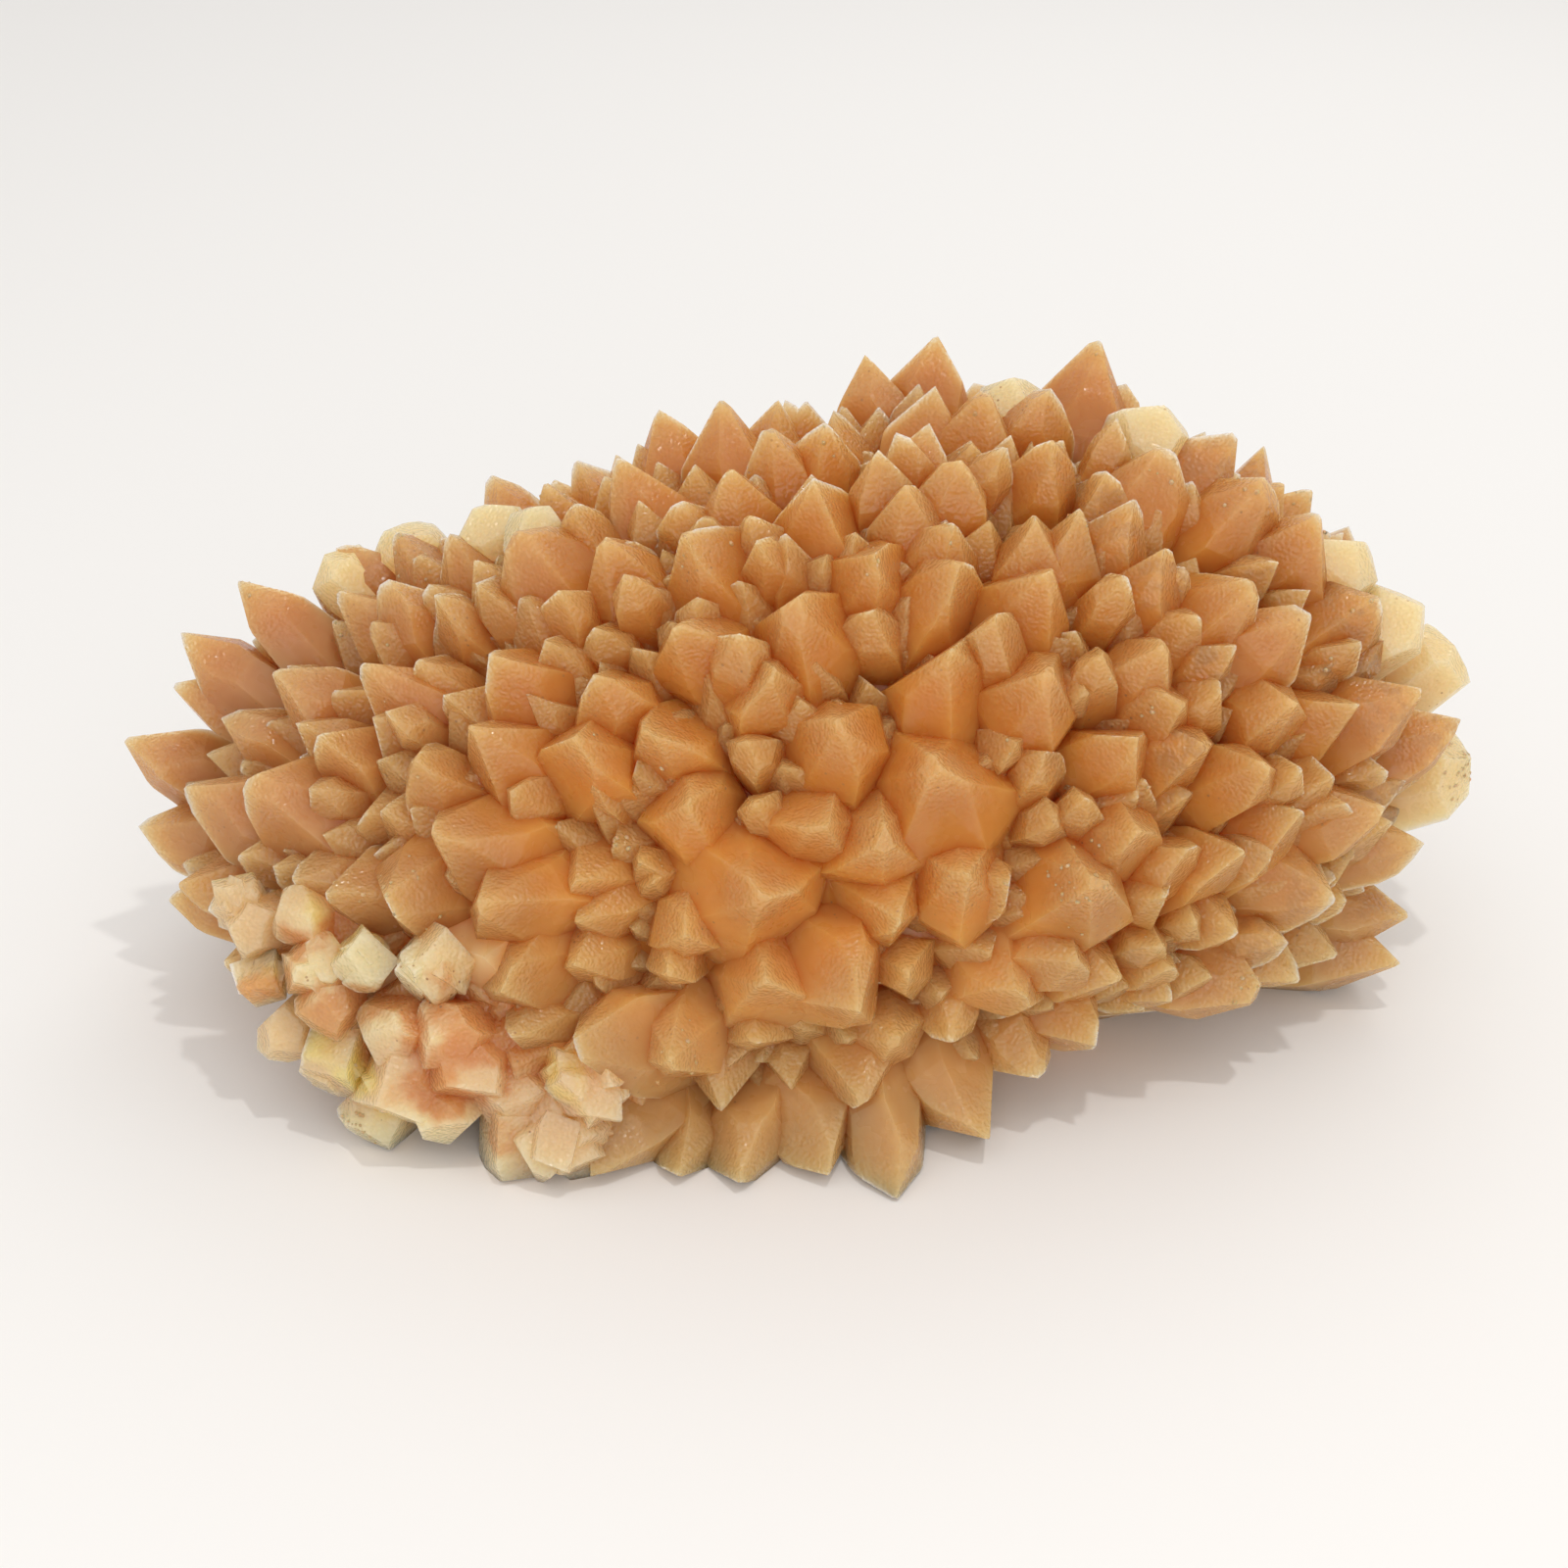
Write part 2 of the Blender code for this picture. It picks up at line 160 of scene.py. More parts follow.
TEETH_MIDDLE = (
    (-92, 22, 1.05, 28), (-93, 9, 1.00, 18), (-82, 7, 1.04, 20), (-84, 43, 1.00, 17),
    (-69, 36, 1.05, 25), (-95, 50, 1.00, 16), (-91, 58, 1.02, 19), (-78, 75, 1.02, 20),
    (-69, 62, 1.02, 20), (-52, 57, 1.00, 18), (-64, 50, 1.00, 18), (-51, 42, 1.02, 18),
    (-86, 31, 0.98, 15), (-77, 29, 0.99, 16), (-67, 22, 0.99, 17), (-76, 17, 0.98, 17),
)
TEETH_FOOT = (
    (-116, -18, 1.07, 18), (-106, -19, 1.05, 13), (-98, -20, 1.09, 17), (-86, -19, 1.09, 19),
    (-78, -20, 1.16, 13), (-81, -12, 1.00, 19), (-62, -16, 1.08, 20), (-59, 3, 1.00, 18),
    (-48, -6, 1.00, 16), (-55, -11, 0.98, 11), (-52, 8, 1.00, 14),
)
TEETH_CROWN = (
    (60, 72, 1.05, 14), (43, 68, 1.09, 17), (24, 56, 1.09, 19), (20, 51, 1.02, 11),
    (19, 74, 1.00, 14), (6, 69, 1.00, 13), (12, 62, 1.01, 13), (-22, 86, 0.98, 12),
    (-31, 69, 0.99, 13), (-50, 70, 0.98, 13), (-15, 62, 0.99, 13), (-47, 63, 0.97, 13),
    (-35, 58, 0.98, 13), (-41, 52, 1.00, 18),
)
TEETH_RIGHT = (
    (4, 45, 1.02, 13), (-5, 51, 1.00, 14), (-6, 42, 1.03, 18), (-7, 37, 1.04, 17),
    (-18, 51, 0.98, 12), (-24, 46, 0.99, 13), (-10, 29, 1.03, 14), (-21, 38, 1.02, 18),
    (-17, 33, 1.02, 15), (-33, 39, 0.98, 12), (-11, 20, 1.03, 14), (-6, 14, 1.04, 12),
    (-24, 27, 1.00, 15), (-35, 33, 0.98, 13), (-42, 33, 0.99, 15), (-30, 23, 1.00, 13),
    (-26, 16, 0.99, 12), (-18, 12, 1.02, 13), (-33, 15, 0.98, 12), (-38, 18, 0.97, 11),
    (-11, 5, 1.02, 12), (-46, 22, 1.02, 16), (-52, 19, 1.04, 22), (-8, -4, 1.04, 17),
    (-23, 5, 1.02, 18), (-11, -8, 1.07, 15), (-30, -4, 1.02, 17),
)
BLUNT_TEETH = (
    (174, 31, 1.05, 13), (171, 37, 1.02, 13), (178, 49, 0.99, 14), (-171, 55, 0.98, 12),
    (22, 63, 0.98, 13), (8, 51, 1.00, 16), (-2, 31, 1.00, 15), (-4, 24, 1.02, 16),
    (-1, 7, 1.04, 17), (3, 16, 1.04, 16),
)
NAILHEADS = (
    (-148, -6, 1.02, 12), (-138, -3, 1.03, 14), (-132, 0, 1.03, 14), (-129, -6, 1.05, 15),
    (-144, -1, 1.02, 11), (-150, 7, 1.00, 12), (-154, 4, 1.01, 12), (-133, -12, 1.04, 14),
    (-140, -13, 1.03, 13), (-125, -10, 1.02, 14),
)
RHOMB_BLOCKS = (
    (-152, -1, 1.01, 10), (-148, 2, 0.99, 12), (-138, -9, 1.03, 17), (-145, -8, 1.01, 13),
    (-125, -17, 1.04, 17), (-120, -16, 1.03, 16), (-136, 5, 0.98, 12), (-119, -9, 1.01, 15),
    (-157, 5, 1.00, 10), (-143, 4, 0.99, 11), (-133, -5, 0.98, 13), (-151, 1, 0.90, 24),
    (-143, -5, 0.92, 26), (-131, -9, 0.92, 26), (-137, 0, 0.88, 24), (-122, -13, 0.92, 24),
)

# The stained corner, and the rim behind which the blunt crystals are less pale, with less painted
# backlit glow
CORNER_LEFT_OF = -0.020
CORNER_IN_FRONT_OF = -0.025
BEHIND_RIM = 0.040
PALE_AND_GLOW_BEHIND_RIM = 0.35

# How nearly parallel three faces may be to meet in a corner, and what rounding may add or lose
FLATTEST_TRIO = 1e-4
CORNER_SLACK = 1e-7
NEAREST_HEART = 1e-6


def unit(vector: Array) -> Array:
    """The vector, or each row of vectors, at length one."""
    return vector / np.linalg.norm(vector, axis=-1, keepdims=True)


def shake(dice: Random, spread: float = 1.0) -> Array:
    """A random vector, with the same spread along each axis."""
    return np.array([dice.gauss(0.0, spread) for _ in range(3)])


def held(number: float) -> float:
    """The number, held between nought and one."""
    return min(1.0, max(0.0, number))


def direction(bearing: float, rise: float) -> Array:
    """Unit vector towards a bearing around +Z and a rise above the ground.

    Args:
        bearing: Angle around +Z in degrees.
        rise: Angle above the ground in degrees.

    Returns:
        The unit vector.
    """
    around = math.radians(bearing)
    up = math.radians(rise)
    flat = math.cos(up)
    return np.array((math.cos(around) * flat, math.sin(around) * flat, math.sin(up)))


def face_normal(azimuth: float, slope: float) -> Array:
    """Outward normal of a crystal face that leans from the axis by slope, both in radians."""
    flat = math.cos(slope)
    return np.array((flat * math.cos(azimuth), flat * math.sin(azimuth), math.sin(slope)))


def convex_corners(normals: Array, offsets: Array) -> Array:
    """Find the corners of the convex solid where normal . p <= offset for every face.

    Args:
        normals: The faces' outward unit normals.
        offsets: How far each face lies from the origin along its normal.

    Returns:
        One row for each corner, with repeats where more than three faces meet.
    """
    trios = np.array(list(combinations(range(len(normals)), 3)))
    systems = normals[trios]
    solvable = np.abs(np.linalg.det(systems)) > FLATTEST_TRIO
    points = np.linalg.solve(systems[solvable], offsets[trios][solvable][..., None])[..., 0]
    inside = (points @ normals.T <= offsets + CORNER_SLACK).all(axis=1)
    return points[inside]


# The middle of the stained corner, seen from the heart
CORNER = direction(-138.0, -6.0)


@dataclass(frozen=True)
class Shell:
    """The egg-shaped shell near which the points of the crystals lie."""

    heart: Array
    halves: Array
    roll: float
    yaw: float
    lean: float

    def axes(self) -> Array:
        """The rotation that turns the shell's own axes to the world."""
        return np.array(Matrix.Rotation(self.yaw, 3, "Z") @ Matrix.Rotation(-self.roll, 3, "Y"))

    def reach(self, toward: Array) -> Array:
        """Distance from the heart to the shell along a unit vector, or each row of them."""
        own = toward @ self.axes()
        plain = 1.0 / np.linalg.norm(own / self.halves, axis=-1)
        return plain * (1.0 + self.lean * toward[..., 0] * toward[..., 2])

    def point(self, toward: Array, share: float = 1.0) -> Array:
        """The point along a unit vector at a share of the way from the heart to the shell."""
        return self.heart + toward * self.reach(toward) * share

    def normal(self, toward: Array) -> Array:
        """Outward normal of the shell where it is met along a unit vector."""
        own = toward @ self.axes()
        return unit((own / self.halves ** 2) @ self.axes().T)

    def growth_axis(self, toward: Array, dice: Random) -> Array:
        """Choose a crystal's axis: between straight out and square to the shell, pulled up.

        Args:
            toward: The crystal's direction from the heart.
            dice: Source of the small deviation.

        Returns:
            The axis as a unit vector.
        """
        mixed = (1.0 - AXIS_TOWARDS_NORMAL) * toward + AXIS_TOWARDS_NORMAL * self.normal(toward)
        mixed = mixed + AXIS_PULL * held(1.0 + PULL_FADE * toward[2])
        return unit(mixed + shake(dice, AXIS_JITTER))

    def depth(self, points: Array) -> Array:
        """Tell how deep points lie under the shell.

        Args:
            points: One row for each point.

        Returns:
            For each point, nought on the shell and one at the heart.
        """
        away = points - self.heart
        far = np.linalg.norm(away, axis=1)
        toward = away / np.maximum(far, NEAREST_HEART)[:, None]
        return 1.0 - far / self.reach(toward)


@dataclass(frozen=True)
class Crystal:
    """One crystal: a convex solid in its own frame, with +Z along its axis."""

    origin: Array
    turn: Array
    normals: Array
    offsets: Array
    width: float
    habit: Habit
    small: bool = False

    def plain_corners(self) -> Array:
        """World corners of the crystal as the CAD source has it."""
        return convex_corners(self.normals, self.offsets) @ self.turn.T + self.origin

    def is_corner(self) -> bool:
        """Whether the crystal is one of the stained ones at the lower left of the front."""
        at_corner = self.origin[0] < CORNER_LEFT_OF and self.origin[1] < CORNER_IN_FRONT_OF
        return self.habit is Habit.BLOCK or (self.habit is Habit.BLUNT and at_corner)

    def pale_and_glow_share(self) -> float:
        """How pale the crystal is, partly its own cream and partly painted backlit glow: the blunt
        ones along the rim most, those behind them less.
        """
        if self.habit is not Habit.BLUNT or self.is_corner():
            return 0.0
        return PALE_AND_GLOW_BEHIND_RIM if self.origin[1] > BEHIND_RIM else 1.0

    def to_own(self, points: Array) -> Array:
        """World points in the crystal's own frame."""
        return (points - self.origin) @ self.turn


@dataclass
class Faces:
    """A growing list of the faces of a convex solid."""

    normals: list[Array]
    offsets: list[float]

    def add(self, normal: Array, offset: float) -> None:
        """Add one face."""
        self.normals.append(normal)
        self.offsets.append(offset)

    def cut(self, corners: Array, normal: Array, depth: float) -> None:
        """Add a face that takes depth off the given corners in the direction of normal."""
        self.add(normal, float((corners @ normal).max()) - depth)

    def corners(self) -> Array:
        """Corners of the solid."""
        return convex_corners(np.array(self.normals), np.array(self.offsets))

    def crystal(self, origin: Array, turn: Array, width: float, habit: Habit,
                small: bool = False) -> Crystal:
        """The crystal that these faces bound."""
        return Crystal(origin, turn, np.array(self.normals), np.array(self.offsets), width,
                       habit, small)


@dataclass(frozen=True)
class Wear:
    """What is worn off a crystal: depths as shares of its half width, slopes in degrees."""

    block_chips: int = 9
    block_chip_share: Span = (0.08, 0.20)
    bulge_slope: Span = (15.0, 21.0)
    slim_bulge: float = 0.035
    plump_bulge: float = 0.10
    plump_width: float = 0.021
    uneven_faces: int = 2
    uneven_depth: Span = (0.05, 0.30)
    point_faces: int = 3
    point_jitter: float = 0.2
    point_slope: Span = (46.0, 66.0)
    point_depth: Span = (0.04, 0.24)
    chipped_share: float = 0.45
    chip_slope: Span = (35.0, 80.0)
    chip_depth: Span = (0.15, 0.40)

    def corners(self, crystal: Crystal, dice: Random) -> Array:
        """Wear a crystal: curve its faces, blunt its point and sometimes chip it.

        Args:
            crystal: The crystal.
            dice: Source of this crystal's wear.

        Returns:
            One row for each corner that is left, in the crystal's own frame.
        """
        faces = Faces(list(crystal.normals), list(crystal.offsets))
        bare = faces.corners()
        if crystal.habit is Habit.BLOCK:
            for _ in range(self.block_chips):
                normal = unit(shake(dice))
                faces.cut(bare, normal, crystal.width * dice.uniform(*self.block_chip_share))
            return faces.corners()
        half = crystal.width / 2
        spread = dice.uniform(0.0, math.tau)
        bulge = self.plump_bulge if crystal.width > self.plump_width else self.slim_bulge
        point = crystal.normals[0:12:2]
        for step in range(6):
            azimuth = spread + step * SIXTH_TURN
            if crystal.habit is Habit.TOOTH:
                azimuth = math.atan2(point[step][1], point[step][0])
            slope = math.radians(dice.uniform(*self.bulge_slope))
            faces.cut(bare, face_normal(azimuth, slope), half * dice.uniform(0.0, bulge))
        if crystal.habit is Habit.TOOTH:
            for step in dice.sample(range(6), self.uneven_faces):
                faces.cut(bare, point[step], half * dice.uniform(*self.uneven_depth))
        for step in range(self.point_faces):
            azimuth = spread + THIRD_TURN * step + dice.gauss(0.0, self.point_jitter)
            slope = math.radians(dice.uniform(*self.point_slope))
            faces.cut(bare, face_normal(azimuth, slope), half * dice.uniform(*self.point_depth))
        if dice.random() < self.chipped_share:
            azimuth = dice.uniform(0.0, math.tau)
            slope = math.radians(dice.uniform(*self.chip_slope))
            faces.cut(bare, face_normal(azimuth, slope), half * dice.uniform(*self.chip_depth))
        return faces.corners()


@dataclass
class Layout:
    """Where every crystal of the cluster stands."""

    shell: Shell

    def tooth_faces(self, half_width: float, length: float, habit: Habit,
                    dice: Random) -> Faces:
        """Lay out a dogtooth crystal whose point is at the origin and whose root is down -Z.

        Args:
            half_width: From the axis to the body faces.
            length: From the point to the root.
            habit: Pointed, or blunt with three point faces instead of six.
            dice: Source of the small differences between crystals.

        Returns:
            The faces, the point faces of a pointed crystal at even places.
        """
        shoulder = half_width / math.tan(TIP_SLOPE[habit])
        faces = Faces([], [])
        for step in range(6):
            side = 1 if step % 2 else -1
            azimuth = THIRD_TURN * (step // 2) + side * PAIR_HALF_ANGLE
            azimuth += dice.gauss(0.0, FACE_JITTER)
            slope = TIP_SLOPE[habit] + dice.gauss(0.0, FACE_JITTER)
            if habit is Habit.TOOTH or side > 0:
                faces.add(face_normal(azimuth, slope), 0.0)
            slope = BODY_SLOPE[habit] + dice.gauss(0.0, FACE_JITTER / 3)
            width = half_width * (1.0 + dice.uniform(-OFFSET_JITTER, OFFSET_JITTER))
            offset = width * math.cos(slope) - shoulder * math.sin(slope)
            faces.add(face_normal(azimuth, slope), offset)
        faces.add(np.array((0.0, 0.0, -1.0)), length)
        return faces

    def block_faces(self, size: float, dice: Random) -> Faces:
        """Lay out a stubby calcite rhomb around the origin.

        Args:
            size: From face to face, about.
            dice: Source of the small differences between rhombs.

        Returns:
            The faces.
        """
        faces = Faces([], [])
        for step in range(3):
            azimuth = THIRD_TURN * step + dice.gauss(0.0, FACE_JITTER)
            for sign in (1, -1):
                normal = sign * face_normal(azimuth, BLOCK_SLOPE)
                faces.add(normal, size * dice.uniform(*BLOCK_HALF))
        for _ in range(BLOCK_CORNER_CUTS):
            aside = [dice.gauss(0.0, BLOCK_CUT_SPREAD) for _ in range(2)]
            faces.add(unit(np.array([*aside, 1.0])), size * dice.uniform(*BLOCK_CUT_HALF))
        return faces

    def stand_on(self, axis: Array, dice: Random) -> Array:
        """Rotation that turns +Z to the axis, with a random spin around it."""
        turn = Vector((0.0, 0.0, 1.0)).rotation_difference(Vector(axis)).to_matrix()
        spin = Matrix.Rotation(dice.uniform(0.0, math.tau), 3, "Z")
        return np.array(turn @ spin)

    def tooth(self, toward: Array, reach: float, width: float, habit: Habit,
              dice: Random) -> Crystal:
        """Stand a pointed or blunt crystal with its point along a direction.

        Args:
            toward: The direction from the heart.
            reach: Where the point lies, as a share of the shell.
            width: Across the crystal.
            habit: Pointed or blunt.
            dice: Source of its lean, spin and faces.

        Returns:
            The crystal.
        """
        tip = self.shell.point(toward, reach)
        turn = self.stand_on(self.shell.growth_axis(toward, dice), dice)
        return self.tooth_faces(width / 2, CRYSTAL_LENGTH, habit, dice).crystal(
            tip, turn, width, habit)

    def block(self, toward: Array, reach: float, size: float, dice: Random) -> Crystal:
        """Stand a stubby rhomb with its outer corner along a direction.

        Args:
            toward: The direction from the heart.
            reach: Where the corner lies, as a share of the shell.
            size: Across the rhomb.
            dice: Source of its lean, spin and faces.

        Returns:
            The rhomb.
        """
        centre = self.shell.heart + toward * (self.shell.reach(toward) * reach - size / 2)
        turn = self.stand_on(self.shell.growth_axis(toward, dice), dice)
        return self.block_faces(size, dice).crystal(centre, turn, size, Habit.BLOCK)

    def placed(self) -> Iterator[tuple[Array, Crystal]]:
        """Stand the crystals that are placed one by one.

        Returns:
            Each crystal, after its direction from the heart.
        """
        dice = Random(PLACED_SEED)
        teeth = TEETH_LEFT_END + TEETH_FRONT_LEFT + TEETH_TOP_LEFT + TEETH_MIDDLE
        teeth += TEETH_FOOT + TEETH_CROWN + TEETH_RIGHT
        for bearing, rise, reach, width in teeth:
            toward = direction(bearing, rise)
            wide = PLACED_WIDTH_SHARE * width / 1000
            yield toward, self.tooth(toward, reach, wide, Habit.TOOTH, dice)
        for bearing, rise, reach, width in BLUNT_TEETH + NAILHEADS:
            toward = direction(bearing, rise)
            yield toward, self.tooth(toward, reach, width / 1000, Habit.BLUNT, dice)
        for bearing, rise, reach, width in RHOMB_BLOCKS:
            toward = direction(bearing, rise)
            yield toward, self.block(toward, reach, width / 1000, dice)

    def usual_width(self, toward: Array, dice: Random) -> float:
        """Width of a crystal that grows in the given direction."""
        frontness = max(0.0, -toward[1])
        width = WIDTH_AT_ENDS + (WIDTH_AT_FRONT - WIDTH_AT_ENDS) * frontness
        return width * (1.0 + dice.uniform(-WIDTH_JITTER, WIDTH_JITTER))

    def skirt_height(self, toward: Array) -> float:
        """Height of the lowest crystal points under a unit vector's bearing."""
        bearing = math.degrees(math.atan2(toward[1], toward[0]))
        return float(np.interp(bearing, [p[0] for p in SKIRT], [p[1] for p in SKIRT]))

    def filling(self, placed: list[tuple[Array, Crystal]]) -> Iterator[Crystal]:
        """Fill the gaps between the placed crystals, down to the skirt.

        Args:
            placed: The placed crystals with their directions.

        Returns:
            The crystals of the filling.
        """
        dice = Random(FILLING_SEED)
        tips = [self.shell.point(toward) for toward, _ in placed]
        widths = [crystal.width for _, crystal in placed]
        for _ in range(TRIALS):
            toward = unit(shake(dice))
            tip = self.shell.point(toward)
            if tip[2] < self.skirt_height(toward):
                continue
            width = self.usual_width(toward, dice)
            gaps = np.linalg.norm(np.array(tips) - tip, axis=1)
            if (gaps < SPACING_SHARE * (np.array(widths) + width) / 2).any():
                continue
            tips.append(tip)
            widths.append(width)
            at_back = toward[1] > BACK_FROM and toward[2] < BACK_BELOW
            blunt = at_back and dice.random() < BLUNT_AT_BACK
            habit = Habit.BLUNT if blunt else Habit.TOOTH
            yield self.tooth(toward, dice.uniform(REACH_LOW, REACH_HIGH), width, habit, dice)


@dataclass(frozen=True)
class Undergrowth:
    """Smaller crystals between and beside the ones that the CAD source has.

    Spans and shares are shares of the parent's width, apart from the reach, which is a share of
    the shell. Small teeth crowd together from a share of the way to the ends and to the top.
    """

    layout: Layout
    seed: int = 61
    trials: int = 9000
    width: float = 0.0125
    width_jitter: float = 0.35
    parent_share: float = 0.50
    own_share: float = 0.34
    reach_low: float = 0.80
    reach_high: float = 0.94
    crowd_share: float = 0.13
    crowd_reach: float = 0.05
    crowd_ends: float = 0.45
    crowd_top: float = 0.50
    crowd_fade: float = 0.25
    crumbs: int = 4
    crumb_out: Span = (0.18, 0.34)
    crumb_lowest: float = 0.3
    crumb_size: Span = (0.55, 0.85)
    smallest_crumb: float = 0.0055
    sides: int = 2
    beside_share: float = 0.38
    side_out: Span = (0.30, 0.48)
    side_back: Span = (0.55, 1.20)
    side_width: Span = (0.35, 0.62)
    side_lean: float = 0.10
    side_length: float = CRYSTAL_LENGTH * 0.7

    def crowding(self, toward: Array) -> float:
        """How crowded the small teeth are: nought at the middle, one at the ends and the top."""
        return held(max((abs(toward[0]) - self.crowd_ends) / self.crowd_fade,
                        (toward[2] - self.crowd_top) / self.crowd_fade))

    def between(self, standing: list[Crystal]) -> Iterator[Crystal]:
        """Grow small teeth in the gaps, a little under the points of the large ones.

        Args:
            standing: The large crystals.

        Returns:
            The small teeth.
        """
        dice = Random(self.seed)
        shell = self.layout.shell
        tips = [crystal.origin for crystal in standing]
        widths = [crystal.width for crystal in standing]
        for _ in range(self.trials):
            toward = unit(shake(dice))
            crowd = self.crowding(toward)
            reach = dice.uniform(self.reach_low, self.reach_high) + self.crowd_reach * crowd
            tip = shell.point(toward, reach)
            if tip[2] < self.layout.skirt_height(toward):
                continue
            width = self.width * (1.0 + dice.uniform(-self.width_jitter, self.width_jitter))
            gaps = np.linalg.norm(np.array(tips) - tip, axis=1)
            share = self.parent_share - self.crowd_share * crowd
            if (gaps < share * np.array(widths) + self.own_share * width).any():
                continue
            tips.append(tip)
            widths.append(width)
            yield replace(self.layout.tooth(toward, reach, width, Habit.TOOTH, dice), small=True)

    def beside(self, standing: list[Crystal]) -> Iterator[Crystal]:
        """Grow lesser crystals on the flanks of the large ones.

        Args:
            standing: The large crystals.

        Returns:
            The lesser crystals.
        """
        dice = Random(self.seed + 1)
        for parent in standing:
            if parent.habit is Habit.BLOCK:
                yield from self.crumbs_on(parent, dice)
                continue
            for _ in range(self.sides):
                if dice.random() > self.beside_share:
                    continue
                yield self.side_crystal(parent, dice)

    def crumbs_on(self, parent: Crystal, dice: Random) -> Iterator[Crystal]:
        """Grow lesser rhombs on a rhomb, turned every way.

        Args:
            parent: The rhomb.
            dice: Source of their places, sizes and faces.

        Returns:
            The lesser rhombs that clear the ground.
        """
        for _ in range(self.crumbs):
            toward = unit(shake(dice))
            origin = parent.origin + toward * parent.width * dice.uniform(*self.crumb_out)
            if origin[2] < parent.width * self.crumb_lowest:
                continue
            size = max(self.smallest_crumb, parent.width * dice.uniform(*self.crumb_size))
            turn = self.layout.stand_on(toward, dice)
            faces = self.layout.block_faces(size, dice)
            yield faces.crystal(origin, turn, size, Habit.BLOCK, small=True)

    def side_crystal(self, parent: Crystal, dice: Random) -> Crystal:
        """Grow one lesser crystal on the flank of its parent, nearly parallel to it.

        Args:
            parent: The large crystal.
            dice: Source of its place, lean, width and faces.

        Returns:
            The lesser crystal.
        """
        around = dice.uniform(0.0, math.tau)
        out = parent.width * dice.uniform(*self.side_out)
        back = parent.width * dice.uniform(*self.side_back)
        own = np.array((out * math.cos(around), out * math.sin(around), -back))
        axis = unit(parent.turn[:, 2] + shake(dice, self.side_lean))
        turn = self.layout.stand_on(axis, dice)
        width = parent.width * dice.uniform(*self.side_width)
        faces = self.layout.tooth_faces(width / 2, self.side_length, parent.habit, dice)
        origin = parent.origin + parent.turn @ own
        return faces.crystal(origin, turn, width, parent.habit, small=True)


